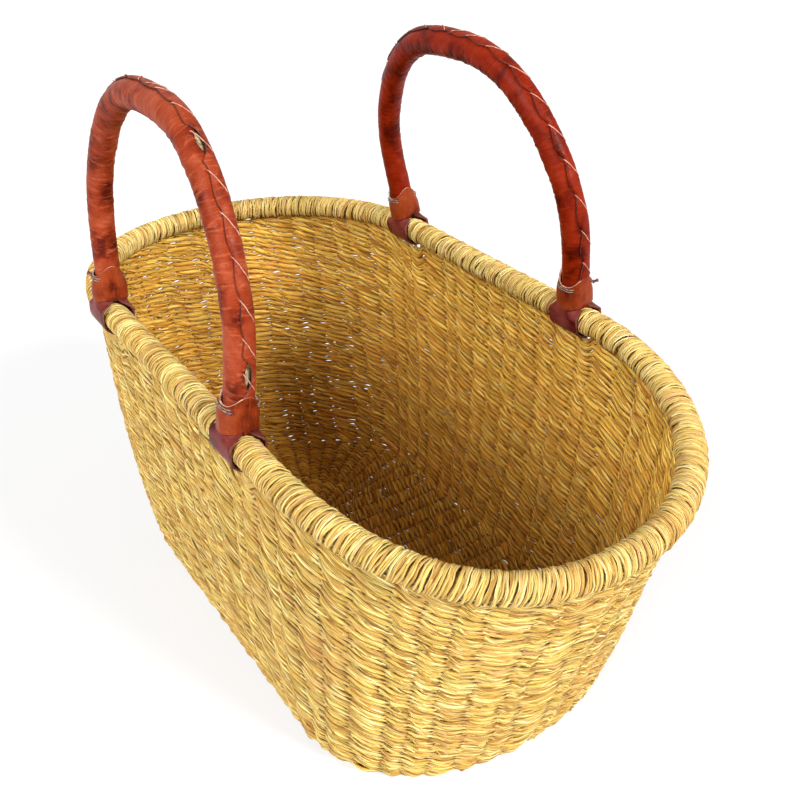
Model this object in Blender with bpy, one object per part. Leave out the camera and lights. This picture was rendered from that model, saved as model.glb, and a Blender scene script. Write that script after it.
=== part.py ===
"""Bolga basket: a twined oval straw basket with a bound rim and two leather-covered handles.

Metres, +Z up. +X runs along the basket to its fuller front end, and the left handle is at -Y.
The basket rests on z = 0. Each handle turns about the rim between its own two feet.
"""

import math

import bmesh
import bpy
from mathutils import Matrix, Vector

# Basket, measured to the middle of the rim's bundle and of the weave
RIM_HALF_LENGTH = 0.2175
RIM_HALF_WIDTH = 0.105
RIM_HEIGHT = 0.194
STRAIGHT_HALF_LENGTH = 0.09
FRONT_DROOP = 0.024
REAR_DROOP = 0.009
FLOOR_HALF_LENGTH = 0.157
FLOOR_HALF_WIDTH = 0.088
TURN_WIDTH = 0.004
WEAVE_THICKNESS = 0.004
FLUTE_DEPTH = 0.0009
OVAL_EXPONENT = 2.15
END_EXPONENT = 1.6
END_SWELL_SHARE = 0.07
END_INSET_SHARES = (0.0, 0.43, 0.68, 1.0)
SIDE_INSET_SHARES = (0.0, -0.4, 0.23, 1.0)
WALL_HEIGHT_SHARES = (1.0, 0.6, 0.0, 0.0)
STAKES = 68
WALL_ROWS = 4

# Fits: a seat, layers of leather, and the room that a strap needs to turn on the rim
SEAT_GAP = 0.0003
LAYER_GAP = 0.0005
TURNING_GAP = 0.0012

# Rim
RIM_RADIUS = 0.0075
BINDING_THICKNESS = 0.0012
BINDING_GROOVE = 0.0004
SLIT_SLACK = 0.0011
BINDING_BUNDLES = 40
BINDING_SIDES = 7
BINDING_BORE = RIM_RADIUS - BINDING_GROOVE - BINDING_THICKNESS
RIM_CORE_RADIUS = BINDING_BORE * math.cos(math.pi / BINDING_SIDES) - SEAT_GAP
CORE_SIDES = 6

# Handles, whose middle stands a little to the rear of the basket's
HANDLE_CENTRE = -0.0086
FOOT_HALF_SPACING = 0.0825
ARCH_HEIGHT = 0.1377
LIMB_BOW = 0.0068
ARCH_EXPONENT = 2.77
SLEEVE_RADIUS = 0.0079
SLEEVE_THICKNESS = 0.0012
SEAM_WIDTH = 0.0014
HANDLE_STATIONS = 28
SLEEVE_SIDES = 9
SLEEVE_BORE = SLEEVE_RADIUS - SLEEVE_THICKNESS
HANDLE_CORE_RADIUS = SLEEVE_BORE * math.cos(math.pi / SLEEVE_SIDES) - SEAT_GAP
REST_LEAN = {"left": math.radians(6.0), "right": math.radians(9.5)}

# Rim straps
STRAP_WIDTH = 0.022
STRAP_THICKNESS = 0.0013
STRAP_TAB = 0.012
STRAP_BOW_STEPS = 6
STRAP_TAB_STEPS = 5
STRAP_COLUMNS = 5
STRAP_FLAT = math.cos(STRAP_WIDTH / SLEEVE_RADIUS / STRAP_COLUMNS / 2)
STRAP_BORE = max(RIM_RADIUS + TURNING_GAP, (SLEEVE_RADIUS + LAYER_GAP) / STRAP_FLAT)
STRAP_MIDDLE_RADIUS = STRAP_BORE + STRAP_THICKNESS / 2
STRAP_OUTER_RADIUS = STRAP_BORE + STRAP_THICKNESS

# Collars, their cords and the thong ends
COLLAR_THICKNESS = 0.001
COLLAR_HEIGHT = 0.0125
COLLAR_EAR = 0.006
COLLAR_SIDES = 16
COLLAR_STEPS = 2
COLLAR_BORE = (STRAP_OUTER_RADIUS + SEAT_GAP) / math.cos(math.pi / COLLAR_SIDES)
COLLAR_RADIUS = COLLAR_BORE + COLLAR_THICKNESS / 2
CORD_RADIUS = 0.0006
CORD_DROP = 0.0035
CORD_SIDES = 4
THONG_END_LENGTH = 0.0055
THONG_END_RADIUS = 0.0013

# Lacing along the seam
THONG_RADIUS = 0.0005
STITCH_REACH = 0.0034
STITCHES = 20
STITCH_SAG = 0.0002
LACING_SIDES = 4

# Where a limb's parts start, measured up from the middle of the rim
FOOT_LIFT = RIM_RADIUS + TURNING_GAP + LAYER_GAP
COLLAR_LIFT = STRAP_OUTER_RADIUS + TURNING_GAP
LACING_LIFT = COLLAR_LIFT + COLLAR_HEIGHT + COLLAR_EAR + THONG_RADIUS

QUARTER_STEPS = 60
WELD_DISTANCE = 0.00001
RIGHT_ANGLE = math.pi / 2
SHARP_ANGLE = math.radians(35.0)
SIDES = {"left": -1, "right": 1}
ENDS = {"front": 1, "rear": -1}

COLOURS = {
    "straw_weave": ((0.62, 0.45, 0.20), 0.75),
    "straw_bundle": ((0.55, 0.42, 0.21), 0.8),
    "straw_binding": ((0.72, 0.55, 0.27), 0.7),
    "handle_straw": ((0.60, 0.50, 0.34), 0.8),
    "terracotta_leather": ((0.42, 0.11, 0.045), 0.55),
    "maroon_leather": ((0.22, 0.035, 0.03), 0.4),
    "collar_leather": ((0.36, 0.085, 0.025), 0.5),
    "pale_thong": ((0.62, 0.42, 0.30), 0.65),
    "dark_thong": ((0.12, 0.03, 0.03), 0.55),
}


def clear_scene():
    """Empties the scene that Blender starts with."""
    for obj in list(bpy.data.objects):
        bpy.data.objects.remove(obj)


def material(name):
    """One Principled material for each name in COLOURS."""
    found = bpy.data.materials.get(name)
    if found:
        return found
    colour, roughness = COLOURS[name]
    made = bpy.data.materials.new(name)
    made.use_nodes = True
    shader = made.node_tree.nodes["Principled BSDF"]
    shader.inputs["Base Color"].default_value = (*colour, 1.0)
    shader.inputs["Roughness"].default_value = roughness
    shader.inputs["Metallic"].default_value = 0.0
    made.diffuse_color = (*colour, 1.0)
    return made


def add_object(name, data, finish, parent=None):
    """Links one named piece into the scene, carried by an empty if one is given."""
    obj = bpy.data.objects.new(name, data)
    bpy.context.scene.collection.objects.link(obj)
    data.materials.append(material(finish))
    obj.parent = parent
    return obj


def resample(points, count, closed):
    """The polyline's points again, evenly spaced along its length."""
    line = points + points[:1] if closed else points
    lengths = [0.0]
    for before, after in zip(line, line[1:]):
        lengths.append(lengths[-1] + (after - before).length)
    steps = count if closed else count - 1
    found = []
    segment = 0
    for step in range(count):
        target = lengths[-1] * step / steps
        while segment < len(line) - 2 and lengths[segment + 1] < target:
            segment += 1
        span = lengths[segment + 1] - lengths[segment]
        share = (target - lengths[segment]) / span if span else 0.0
        found.append(line[segment].lerp(line[segment + 1], min(share, 1.0)))
    return found


def bezier(values, share):
    """A cubic Bezier through the first and last value."""
    rest = 1 - share
    weights = (rest**3, 3 * rest**2 * share, 3 * rest * share**2, share**3)
    return sum(weight * value for weight, value in zip(weights, values))


def smooth_step(low, high, value):
    """0 below low, 1 above high, eased between."""
    share = min(max((value - low) / (high - low), 0.0), 1.0)
    return share * share * (3 - 2 * share)


def oval(half_length, half_width, height, rim_share, count):
    """Points round one level of the basket, from the front tip anticlockwise.

    The sides run straight between the handles' feet and the ends are superelliptic. rim_share
    says how far up the level is: the front's extra fullness and the drooping ends fade below,
    and they grow from nothing at the straight sides to all of it at the tips.
    """
    reach = half_length - STRAIGHT_HALF_LENGTH
    power = 2 / OVAL_EXPONENT
    outline = []
    for quarter in range(4):
        for step in range(QUARTER_STEPS + 1):
            angle = RIGHT_ANGLE * (quarter + step / QUARTER_STEPS)
            toward_front = 1 if quarter in (0, 3) else -1
            toward_right = 1 if quarter < 2 else -1
            past = abs(math.cos(angle)) ** power
            across = abs(math.sin(angle)) ** power
            ended = rim_share * past**END_EXPONENT
            swell = 1 + toward_front * END_SWELL_SHARE * ended
            droop = FRONT_DROOP if toward_front > 0 else REAR_DROOP
            outline.append(
                Vector(
                    (
                        toward_front * (STRAIGHT_HALF_LENGTH + reach * past),
                        toward_right * half_width * across * swell,
                        height - droop * ended,
                    )
                )
            )
    return resample(outline, count, closed=True)


def rim_line(count):
    """The middle of the rim's bundle."""
    return oval(RIM_HALF_LENGTH, RIM_HALF_WIDTH, RIM_HEIGHT, 1.0, count)


def mapped_sheet(name, counts, place, thickness, finish, parent=None):
    """A grid bent by place(u, v), both shares from 0 to 1, and thickened about its middle.

    A sheet whose edges meet is closed there.
    """
    bm = bmesh.new()
    across, along = counts
    bmesh.ops.create_grid(bm, x_segments=across, y_segments=along, size=0.5)
    for vertex in bm.verts:
        vertex.co = place(vertex.co.x + 0.5, vertex.co.y + 0.5)
    bmesh.ops.remove_doubles(bm, verts=bm.verts, dist=WELD_DISTANCE)
    mesh = bpy.data.meshes.new(name)
    bm.to_mesh(mesh)
    bm.free()
    mesh.shade_smooth()
    mesh.set_sharp_from_angle(angle=SHARP_ANGLE)
    obj = add_object(name, mesh, finish, parent)
    solid = obj.modifiers.new("thickness", "SOLIDIFY")
    solid.thickness = thickness
    solid.offset = 0.0
    solid.use_even_offset = True
    return obj


def tube(name, points, radius, finish, parent=None, closed=False, sides=6):
    """A round bar along the points, flat at its ends."""
    curve = bpy.data.curves.new(name, "CURVE")
    curve.dimensions = "3D"
    curve.bevel_depth = radius
    curve.bevel_resolution = sides // 2 - 2
    curve.use_fill_caps = not closed
    spline = curve.splines.new("POLY")
    spline.points.add(len(points) - 1)
    for point, place in zip(spline.points, points):
        point.co = (*place, 1.0)
    spline.use_cyclic_u = closed
    return add_object(name, curve, finish, parent)


def floor_weave():
    """The oval floor, lying inside the wall's lowest course."""
    outline = oval(
        FLOOR_HALF_LENGTH - SEAT_GAP, FLOOR_HALF_WIDTH - SEAT_GAP, 0.0, 0.0, STAKES
    )
    bm = bmesh.new()
    face = bm.faces.new([bm.verts.new(point) for point in outline])
    swept = bmesh.ops.extrude_face_region(bm, geom=[face])
    lifted = [item for item in swept["geom"] if isinstance(item, bmesh.types.BMVert)]
    bmesh.ops.translate(bm, verts=lifted, vec=(0.0, 0.0, WEAVE_THICKNESS))
    bmesh.ops.recalc_face_normals(bm, faces=bm.faces)
    mesh = bpy.data.meshes.new("floor_weave")
    bm.to_mesh(mesh)
    bm.free()
    add_object("floor_weave", mesh, "straw_weave")


def wall_levels():
    """Each level of the wall's middle surface, from under the rim's bundle to the floor."""
    top = RIM_HEIGHT - RIM_CORE_RADIUS - SEAT_GAP
    bottom = WEAVE_THICKNESS / 2
    end_lean = RIM_HALF_LENGTH - FLOOR_HALF_LENGTH - TURN_WIDTH
    side_lean = RIM_HALF_WIDTH - FLOOR_HALF_WIDTH - TURN_WIDTH
    levels = []
    for row in range(WALL_ROWS + 1):
        share = row / WALL_ROWS
        end_inset = end_lean * bezier(END_INSET_SHARES, share)
        side_inset = side_lean * bezier(SIDE_INSET_SHARES, share)
        up = bezier(WALL_HEIGHT_SHARES, share)
        ring = oval(
            RIM_HALF_LENGTH - end_inset,
            RIM_HALF_WIDTH - side_inset,
            bottom + (top - bottom) * up,
            up,
            2 * STAKES,
        )
        depth = FLUTE_DEPTH / 2 if 0 < row < WALL_ROWS else 0.0
        for index, point in enumerate(ring):
            ahead = ring[(index + 1) % len(ring)] - ring[index - 1]
            outward = Vector((ahead.y, -ahead.x, 0.0)).normalized()
            ring[index] = point + outward * (depth if index % 2 else -depth)
        levels.append(ring)
    levels.append(oval(FLOOR_HALF_LENGTH, FLOOR_HALF_WIDTH, bottom, 0.0, 2 * STAKES))
    return levels


def wall_weave():
    """The twined wall, fluted along its stakes, with a slot under the rim for each strap."""
    levels = wall_levels()
    columns = 2 * STAKES
    rows = len(levels) - 1

    def place(around, down):
        return levels[round(down * rows)][round(around * columns) % columns]

    wall = mapped_sheet(
        "wall_weave", (columns, rows), place, WEAVE_THICKNESS, "straw_weave"
    )
    for side, across in SIDES.items():
        for end, along in ENDS.items():
            cutter = slot_cutter(f"{side}_{end}_slot_cutter")
            cutter.location = (
                HANDLE_CENTRE + along * FOOT_HALF_SPACING,
                across * RIM_HALF_WIDTH,
                RIM_HEIGHT,
            )
            cut = wall.modifiers.new(f"{side}_{end}_slot", "BOOLEAN")
            cut.operation = "DIFFERENCE"
            cut.solver = "EXACT"
            cut.object = cutter


def slot_cutter(name):
    """The room that a strap turns in, as a cylinder along the rim."""
    bm = bmesh.new()
    radius = STRAP_OUTER_RADIUS + TURNING_GAP
    bmesh.ops.create_cone(
        bm,
        cap_ends=True,
        segments=2 * COLLAR_SIDES,
        radius1=radius,
        radius2=radius,
        depth=STRAP_WIDTH + 2 * TURNING_GAP,
        matrix=Matrix.Rotation(RIGHT_ANGLE, 4, "Y"),
    )
    mesh = bpy.data.meshes.new(name)
    bm.to_mesh(mesh)
    bm.free()
    obj = bpy.data.objects.new(name, mesh)
    bpy.context.scene.collection.objects.link(obj)
    obj.hide_render = True
    obj.display_type = "WIRE"
    return obj


def rim_core():
    """The bundle of straw that the stakes turn into."""
    tube(
        "rim_core",
        rim_line(2 * BINDING_BUNDLES),
        RIM_CORE_RADIUS,
        "straw_bundle",
        closed=True,
        sides=CORE_SIDES,
    )


def rim_binding():
    """The straw wound round the bundle, open below where the wall comes in."""
    stations = 2 * BINDING_BUNDLES
    line = rim_line(stations)
    radius = RIM_RADIUS - BINDING_THICKNESS / 2
    opening = math.asin((WEAVE_THICKNESS / 2 + SLIT_SLACK) / radius)

    def place(along, around):
        index = round(along * stations) % stations
        ahead = (line[(index + 1) % stations] - line[index - 1]).normalized()
        outward = Vector((ahead.y, -ahead.x, 0.0)).normalized()
        up = outward.cross(ahead)
        up = up if up.z > 0 else -up
        angle = -RIGHT_ANGLE + opening + around * 2 * (math.pi - opening)
        wound = radius - (BINDING_GROOVE if index % 2 else 0.0)
        turned = outward * math.cos(angle) + up * math.sin(angle)
        return line[index] + wound * turned

    mapped_sheet(
        "rim_binding",
        (stations, BINDING_SIDES),
        place,
        BINDING_THICKNESS,
        "straw_binding",
    )


def limb_reach(lift):
    """How far from the handle's middle its limb is, at this height above the rim."""
    share = min(lift / ARCH_HEIGHT, 1.0)
    arch = FOOT_HALF_SPACING * (1 - share**ARCH_EXPONENT) ** (1 / ARCH_EXPONENT)
    return arch + LIMB_BOW * math.sin(math.pi * share) ** 2


def arch_line(start, count):
    """The handle's middle line in its own plane, from the front foot to the rear one."""
    front = []
    for step in range(QUARTER_STEPS + 1):
        angle = RIGHT_ANGLE * step / QUARTER_STEPS
        lift = start + (ARCH_HEIGHT - start) * math.sin(angle)
        front.append(Vector((limb_reach(lift), 0.0, lift)))
    front[-1].x = 0.0
    rear = [Vector((-point.x, 0.0, point.z)) for point in reversed(front[:-1])]
    return resample(front + rear, count, closed=False)


def frames(line):
    """The direction along the line and the direction away from the arch, at each point."""
    found = []
    for index, point in enumerate(line):
        before = line[max(index - 1, 0)]
        after = line[min(index + 1, len(line) - 1)]
        ahead = (after - before).normalized()
        found.append((ahead, Vector((ahead.z, 0.0, -ahead.x))))
    return found


def limb_frame(lift, end):
    """The middle of a limb at this height, the way up it and the way out of the arch."""
    step = ARCH_HEIGHT / (4 * QUARTER_STEPS)
    low = Vector((limb_reach(lift), 0.0, lift))
    high = Vector((limb_reach(lift + step), 0.0, lift + step))
    ahead = (high - low).normalized()
    outward = Vector((ahead.z, 0.0, -ahead.x))
    mirror = Vector((end, 1.0, 1.0))
    return low * mirror, ahead * mirror, outward * mirror


def handle_core(side, hinge):
    """The straw rope inside the leather."""
    tube(
        f"{side}_handle_core",
        arch_line(FOOT_LIFT, HANDLE_STATIONS + 1),
        HANDLE_CORE_RADIUS,
        "handle_straw",
        hinge,
        sides=CORE_SIDES,
    )


def handle_sleeve(side, hinge):
    """The leather round the core, its two edges meeting at the seam along the arch's back."""
    stations = HANDLE_STATIONS
    line = arch_line(FOOT_LIFT, stations + 1)
    turned = frames(line)
    radius = SLEEVE_RADIUS - SLEEVE_THICKNESS / 2
    seam = math.asin(SEAM_WIDTH / 2 / radius)
    width = Vector((0.0, 1.0, 0.0))

    def place(along, around):
        index = round(along * stations)
        _, outward = turned[index]
        angle = seam + around * 2 * (math.pi - seam)
        return line[index] + radius * (outward * math.cos(angle) + width * math.sin(angle))

    mapped_sheet(
        f"{side}_handle_sleeve",
        (stations, SLEEVE_SIDES),
        place,
        SLEEVE_THICKNESS,
        "terracotta_leather",
        hinge,
    )


def handle_lacing(side, hinge):
    """The thong laced to and fro across the seam, between the two collars."""
    radius = SLEEVE_RADIUS + SEAT_GAP + STITCH_SAG + THONG_RADIUS
    swing = STITCH_REACH / radius
    count = 4 * STITCHES + 1
    line = arch_line(LACING_LIFT, count)
    width = Vector((0.0, 1.0, 0.0))
    points = []
    for index, (point, (_, outward)) in enumerate(zip(line, frames(line))):
        angle = swing * math.sin(RIGHT_ANGLE * index)
        points.append(
            point + radius * (outward * math.cos(angle) + width * math.sin(angle))
        )
    tube(f"{side}_handle_lacing", points, THONG_RADIUS, "pale_thong", hinge, sides=LACING_SIDES)


def rim_strap(side, end, hinge):
    """The strap that hangs a foot on the rim: under the rim and up both sides of the limb."""
    radius = STRAP_MIDDLE_RADIUS
    tab_end = COLLAR_LIFT + STRAP_TAB
    along_sign = ENDS[end]
    width = Vector((0.0, 1.0, 0.0))
    steps = STRAP_BOW_STEPS + 2 * STRAP_TAB_STEPS

    def place(along, across):
        index = round(along * steps) - steps // 2
        across_strap = (across - 0.5) * STRAP_WIDTH
        way = 1 if index > 0 else -1
        past_bow = abs(index) - STRAP_BOW_STEPS // 2
        if past_bow <= 0:
            angle = RIGHT_ANGLE * index / (STRAP_BOW_STEPS // 2)
            return Vector(
                (
                    along_sign * (FOOT_HALF_SPACING + across_strap),
                    radius * math.sin(angle),
                    -radius * math.cos(angle),
                )
            )
        lift = tab_end * past_bow / STRAP_TAB_STEPS
        middle, _, outward = limb_frame(lift, along_sign)
        wrap = across_strap / radius
        flat = middle + outward * across_strap + width * (way * radius)
        curled = middle + radius * (
            outward * math.sin(wrap) + width * (way * math.cos(wrap))
        )
        return flat.lerp(curled, smooth_step(radius / 2, FOOT_LIFT, lift))

    mapped_sheet(
        f"{side}_{end}_rim_strap",
        (steps, STRAP_COLUMNS),
        place,
        STRAP_THICKNESS,
        "maroon_leather",
        hinge,
    )


def ring_point(lift, end, radius, angle):
    """A point round a limb. Angle 0 is out of the arch and a right angle is across it."""
    middle, _, outward = limb_frame(lift, end)
    width = Vector((0.0, 1.0, 0.0))
    return middle + radius * (outward * math.cos(angle) + width * math.sin(angle))


def collar(side, end, hinge):
    """The leather band round the foot and the strap's ends, with its two raised ears."""

    def place(around, up):
        angle = 2 * math.pi * around
        height = COLLAR_HEIGHT + COLLAR_EAR * math.cos(angle) ** 2
        return ring_point(COLLAR_LIFT + up * height, ENDS[end], COLLAR_RADIUS, angle)

    mapped_sheet(
        f"{side}_{end}_collar",
        (COLLAR_SIDES, COLLAR_STEPS),
        place,
        COLLAR_THICKNESS,
        "collar_leather",
        hinge,
    )


def collar_cord(side, end, hinge):
    """The thin cord tied round the collar."""
    radius = COLLAR_RADIUS + COLLAR_THICKNESS / 2 + SEAT_GAP + CORD_RADIUS
    lift = COLLAR_LIFT + COLLAR_HEIGHT - CORD_DROP
    points = [
        ring_point(lift, ENDS[end], radius, 2 * math.pi * step / COLLAR_SIDES)
        for step in range(COLLAR_SIDES)
    ]
    name = f"{side}_{end}_collar_cord"
    tube(name, points, CORD_RADIUS, "pale_thong", hinge, closed=True, sides=CORD_SIDES)


def thong_end(side, end, hinge):
    """The end of the thong, standing out of the collar above the cord, on the outer side."""
    lift = COLLAR_LIFT + COLLAR_HEIGHT - CORD_DROP + CORD_RADIUS + SEAT_GAP
    lift += THONG_END_RADIUS
    start = COLLAR_RADIUS + COLLAR_THICKNESS / 2 + SEAT_GAP
    angle = SIDES[side] * RIGHT_ANGLE / 2
    points = [
        ring_point(lift, ENDS[end], start + THONG_END_LENGTH * share, angle)
        for share in (0.0, 0.5, 1.0)
    ]
    name = f"{side}_{end}_thong_end"
    tube(name, points, THONG_END_RADIUS, "dark_thong", hinge, sides=CORE_SIDES)


def handle(side):
    """One handle with everything that turns with it, carried by an empty on its hinge."""
    across = SIDES[side]
    hinge = bpy.data.objects.new(f"{side}_handle_hinge", None)
    bpy.context.scene.collection.objects.link(hinge)
    hinge.location = (HANDLE_CENTRE, across * RIM_HALF_WIDTH, RIM_HEIGHT)
    hinge.rotation_euler = (across * REST_LEAN[side], 0.0, 0.0)
    handle_core(side, hinge)
    handle_sleeve(side, hinge)
    handle_lacing(side, hinge)
    for end in ENDS:
        rim_strap(side, end, hinge)
        collar(side, end, hinge)
        collar_cord(side, end, hinge)
        thong_end(side, end, hinge)


def main():
    """Builds the basket at rest."""
    clear_scene()
    floor_weave()
    wall_weave()
    rim_core()
    rim_binding()
    for side in SIDES:
        handle(side)


main()
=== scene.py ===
"""The looks of an oval bolga basket: every strand of straw and the leather of its handles.

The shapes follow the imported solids: lengths are metres, +Z is up, +X runs to the fuller front end
and the left handle is at -Y.
"""

import logging
import math
from collections.abc import Callable
from dataclasses import dataclass
from enum import Enum

import bmesh
import bpy
import numpy as np
from mathutils import Matrix, Vector, noise

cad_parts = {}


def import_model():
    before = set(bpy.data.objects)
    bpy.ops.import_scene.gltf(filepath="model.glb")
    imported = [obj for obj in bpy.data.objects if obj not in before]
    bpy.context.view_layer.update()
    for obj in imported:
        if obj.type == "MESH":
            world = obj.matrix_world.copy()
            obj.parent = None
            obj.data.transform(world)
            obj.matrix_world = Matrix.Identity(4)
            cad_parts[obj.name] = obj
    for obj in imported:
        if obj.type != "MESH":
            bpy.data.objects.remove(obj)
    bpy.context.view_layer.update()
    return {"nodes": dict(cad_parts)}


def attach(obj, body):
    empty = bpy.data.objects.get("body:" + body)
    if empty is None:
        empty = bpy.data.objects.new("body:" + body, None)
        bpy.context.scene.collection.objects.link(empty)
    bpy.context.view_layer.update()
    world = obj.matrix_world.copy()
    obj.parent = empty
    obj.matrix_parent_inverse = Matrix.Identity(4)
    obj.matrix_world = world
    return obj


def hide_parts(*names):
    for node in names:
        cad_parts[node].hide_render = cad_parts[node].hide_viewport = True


Socket = bpy.types.NodeSocket
Colour = tuple[float, float, float]
LOG = logging.getLogger("bolga_basket")
WELD_DISTANCE = 0.000001
TURN = 2 * math.pi
QUARTER = math.pi / 2
ACROSS = np.array([0.0, 1.0, 0.0])


class Side(Enum):
    """The basket's two long sides, with their sign along Y and the handle's lean there."""

    LEFT = (-1, math.radians(6.0))
    RIGHT = (1, math.radians(9.5))

    @property
    def across(self) -> int:
        """The side's sign along Y."""
        return self.value[0]

    @property
    def lean(self) -> float:
        """How far the handle leans inward at rest."""
        return self.value[1]

    @property
    def label(self) -> str:
        """The side's name in the names of pieces."""
        return self.name.lower()


class End(Enum):
    """The two feet of a handle, by their sign along X."""

    FRONT = 1
    REAR = -1

    @property
    def label(self) -> str:
        """The end's name in the names of pieces."""
        return self.name.lower()


def resample(line: np.ndarray, count: int, closed: bool) -> np.ndarray:
    """Spreads points evenly along a polyline.

    Args:
        line: The polyline, one row for each point.
        count: How many points to give back.
        closed: Whether the last point joins the first.

    Returns:
        The evenly spaced points.
    """
    loop = np.vstack([line, line[:1]]) if closed else line
    steps = np.linalg.norm(np.diff(loop, axis=0), axis=1)
    run = np.concatenate([[0.0], np.cumsum(steps)])
    wanted = np.linspace(0.0, run[-1], count, endpoint=not closed)
    return np.stack([np.interp(wanted, run, loop[:, axis]) for axis in range(3)], axis=-1)


def bezier(values: tuple[float, ...], share: np.ndarray) -> np.ndarray:
    """A cubic Bezier through the first and last of four values.

    Args:
        values: The four control values.
        share: Where to read it, from 0 to 1.

    Returns:
        The curve's values.
    """
    rest = 1 - share
    weights = (rest**3, 3 * rest**2 * share, 3 * rest * share**2, share**3)
    return sum(weight * value for weight, value in zip(weights, values))


def unit(vectors: np.ndarray) -> np.ndarray:
    """The vectors at length 1."""
    return vectors / np.linalg.norm(vectors, axis=-1, keepdims=True)


def join(*columns: np.ndarray) -> np.ndarray:
    """Puts lists of numbers side by side, one row for each point."""
    return np.stack(columns, axis=-1)


def length_of(line: np.ndarray) -> float:
    """The length of a polyline."""
    return float(np.linalg.norm(np.diff(line, axis=0), axis=1).sum())


def pointed(sizes: np.ndarray) -> np.ndarray:
    """A strand's sizes, brought to 0 at both ends so that it closes."""
    return np.concatenate([[0.0], sizes[1:-1], [0.0]])


def turned_out(outward: np.ndarray, angle: np.ndarray) -> np.ndarray:
    """The way out of a handle at an angle round it, 0 out of the arch."""
    return outward * np.cos(angle)[:, None] + ACROSS * np.sin(angle)[:, None]


def ease(low: float, high: float, value: np.ndarray) -> np.ndarray:
    """0 below low, 1 above high, eased between."""
    share = np.clip((value - low) / (high - low), 0.0, 1.0)
    return share * share * (3 - 2 * share)


def around(ring: np.ndarray, shares: np.ndarray) -> np.ndarray:
    """Reads a closed ring of values at shares of its length.

    Args:
        ring: Evenly spaced values round the ring.
        shares: Where to read, in turns.

    Returns:
        The values there, linear between the ring's own.
    """
    place = (shares % 1.0) * len(ring)
    first = np.floor(place).astype(int)
    mix = (place - first)[:, None]
    first %= len(ring)
    return ring[first] * (1 - mix) + ring[(first + 1) % len(ring)] * mix


def drift(rng: np.random.Generator, samples: int, waves: int, strength: float) -> np.ndarray:
    """Smooth random values that close on themselves.

    Args:
        rng: The seeded source of chance.
        samples: How many values.
        waves: How many waves the quickest change has round the loop.
        strength: The values' spread.

    Returns:
        The values, with a mean of 0.
    """
    spectrum = np.zeros(samples // 2 + 1, dtype=complex)
    top = max(2, min(waves, samples // 2))
    spectrum[1:top] = rng.normal(size=top - 1) + 1j * rng.normal(size=top - 1)
    values = np.fft.irfft(spectrum, samples)
    return strength * values / (values.std() + 1e-12)


def grain(points: np.ndarray, scale: float, offset: float = 0.0) -> np.ndarray:
    """Smooth noise in space.

    Args:
        points: Where to read it.
        scale: How many lumps a metre.
        offset: Moves the pattern, so two surfaces differ.

    Returns:
        A value from about -1 to 1 for each point.
    """
    moved = points * scale + offset
    return np.array([noise.noise(Vector(place)) for place in moved.tolist()])


@dataclass(frozen=True)
class BasketForm:
    """The basket's own sizes, to the middle of the rim's bundle and of the weave."""

    rim_half_length: float = 0.2175
    rim_half_width: float = 0.105
    rim_height: float = 0.194
    straight_half_length: float = 0.09
    front_droop: float = 0.024
    rear_droop: float = 0.009
    floor_half_length: float = 0.157
    floor_half_width: float = 0.088
    turn_width: float = 0.004
    oval_exponent: float = 2.15
    end_exponent: float = 1.6
    end_swell: float = 0.07
    wall_top: float = 0.1887
    wall_bottom: float = 0.0025
    stakes: int = 68
    foot_half_spacing: float = 0.0825
    handle_centre: float = -0.0086
    ring_points: int = 1360

    def oval(
        self, half_length: float, half_width: float, height: float, rim_share: float, count: int
    ) -> np.ndarray:
        """One level of the basket, from the front tip anticlockwise.

        Args:
            half_length: Half the level's length.
            half_width: Half its width at the feet of the handles.
            height: Its height there.
            rim_share: How far up the wall it is, for the swell and the droop of the ends.
            count: How many points.

        Returns:
            The level's evenly spaced points.
        """
        angle = np.linspace(0.0, TURN, 4 * 90, endpoint=False)
        toward_front = np.where(np.cos(angle) > 0, 1.0, -1.0)
        toward_right = np.where(np.sin(angle) >= 0, 1.0, -1.0)
        power = 2 / self.oval_exponent
        past = np.abs(np.cos(angle)) ** power
        across = np.abs(np.sin(angle)) ** power
        ended = rim_share * past**self.end_exponent
        swell = 1 + toward_front * self.end_swell * ended
        droop = np.where(toward_front > 0, self.front_droop, self.rear_droop)
        reach = half_length - self.straight_half_length
        outline = join(
            toward_front * (self.straight_half_length + reach * past),
            toward_right * half_width * across * swell,
            height - droop * ended,
        )
        return resample(outline, count, closed=True)

    def rim_line(self, count: int) -> np.ndarray:
        """The middle of the rim's bundle, in this many points."""
        return self.oval(self.rim_half_length, self.rim_half_width, self.rim_height, 1.0, count)

    def wall_level(self, share: float) -> np.ndarray:
        """One level of the wall's middle surface.

        Args:
            share: Its share of the way down the wall.

        Returns:
            The level's evenly spaced points.
        """
        end_lean = self.rim_half_length - self.floor_half_length - self.turn_width
        side_lean = self.rim_half_width - self.floor_half_width - self.turn_width
        up = bezier((1.0, 0.6, 0.0, 0.0), share)
        return self.oval(
            self.rim_half_length - end_lean * bezier((0.0, 0.43, 0.68, 1.0), share),
            self.rim_half_width - side_lean * bezier((0.0, -0.4, 0.23, 1.0), share),
            self.wall_bottom + (self.wall_top - self.wall_bottom) * up,
            up,
            self.ring_points,
        )


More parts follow.
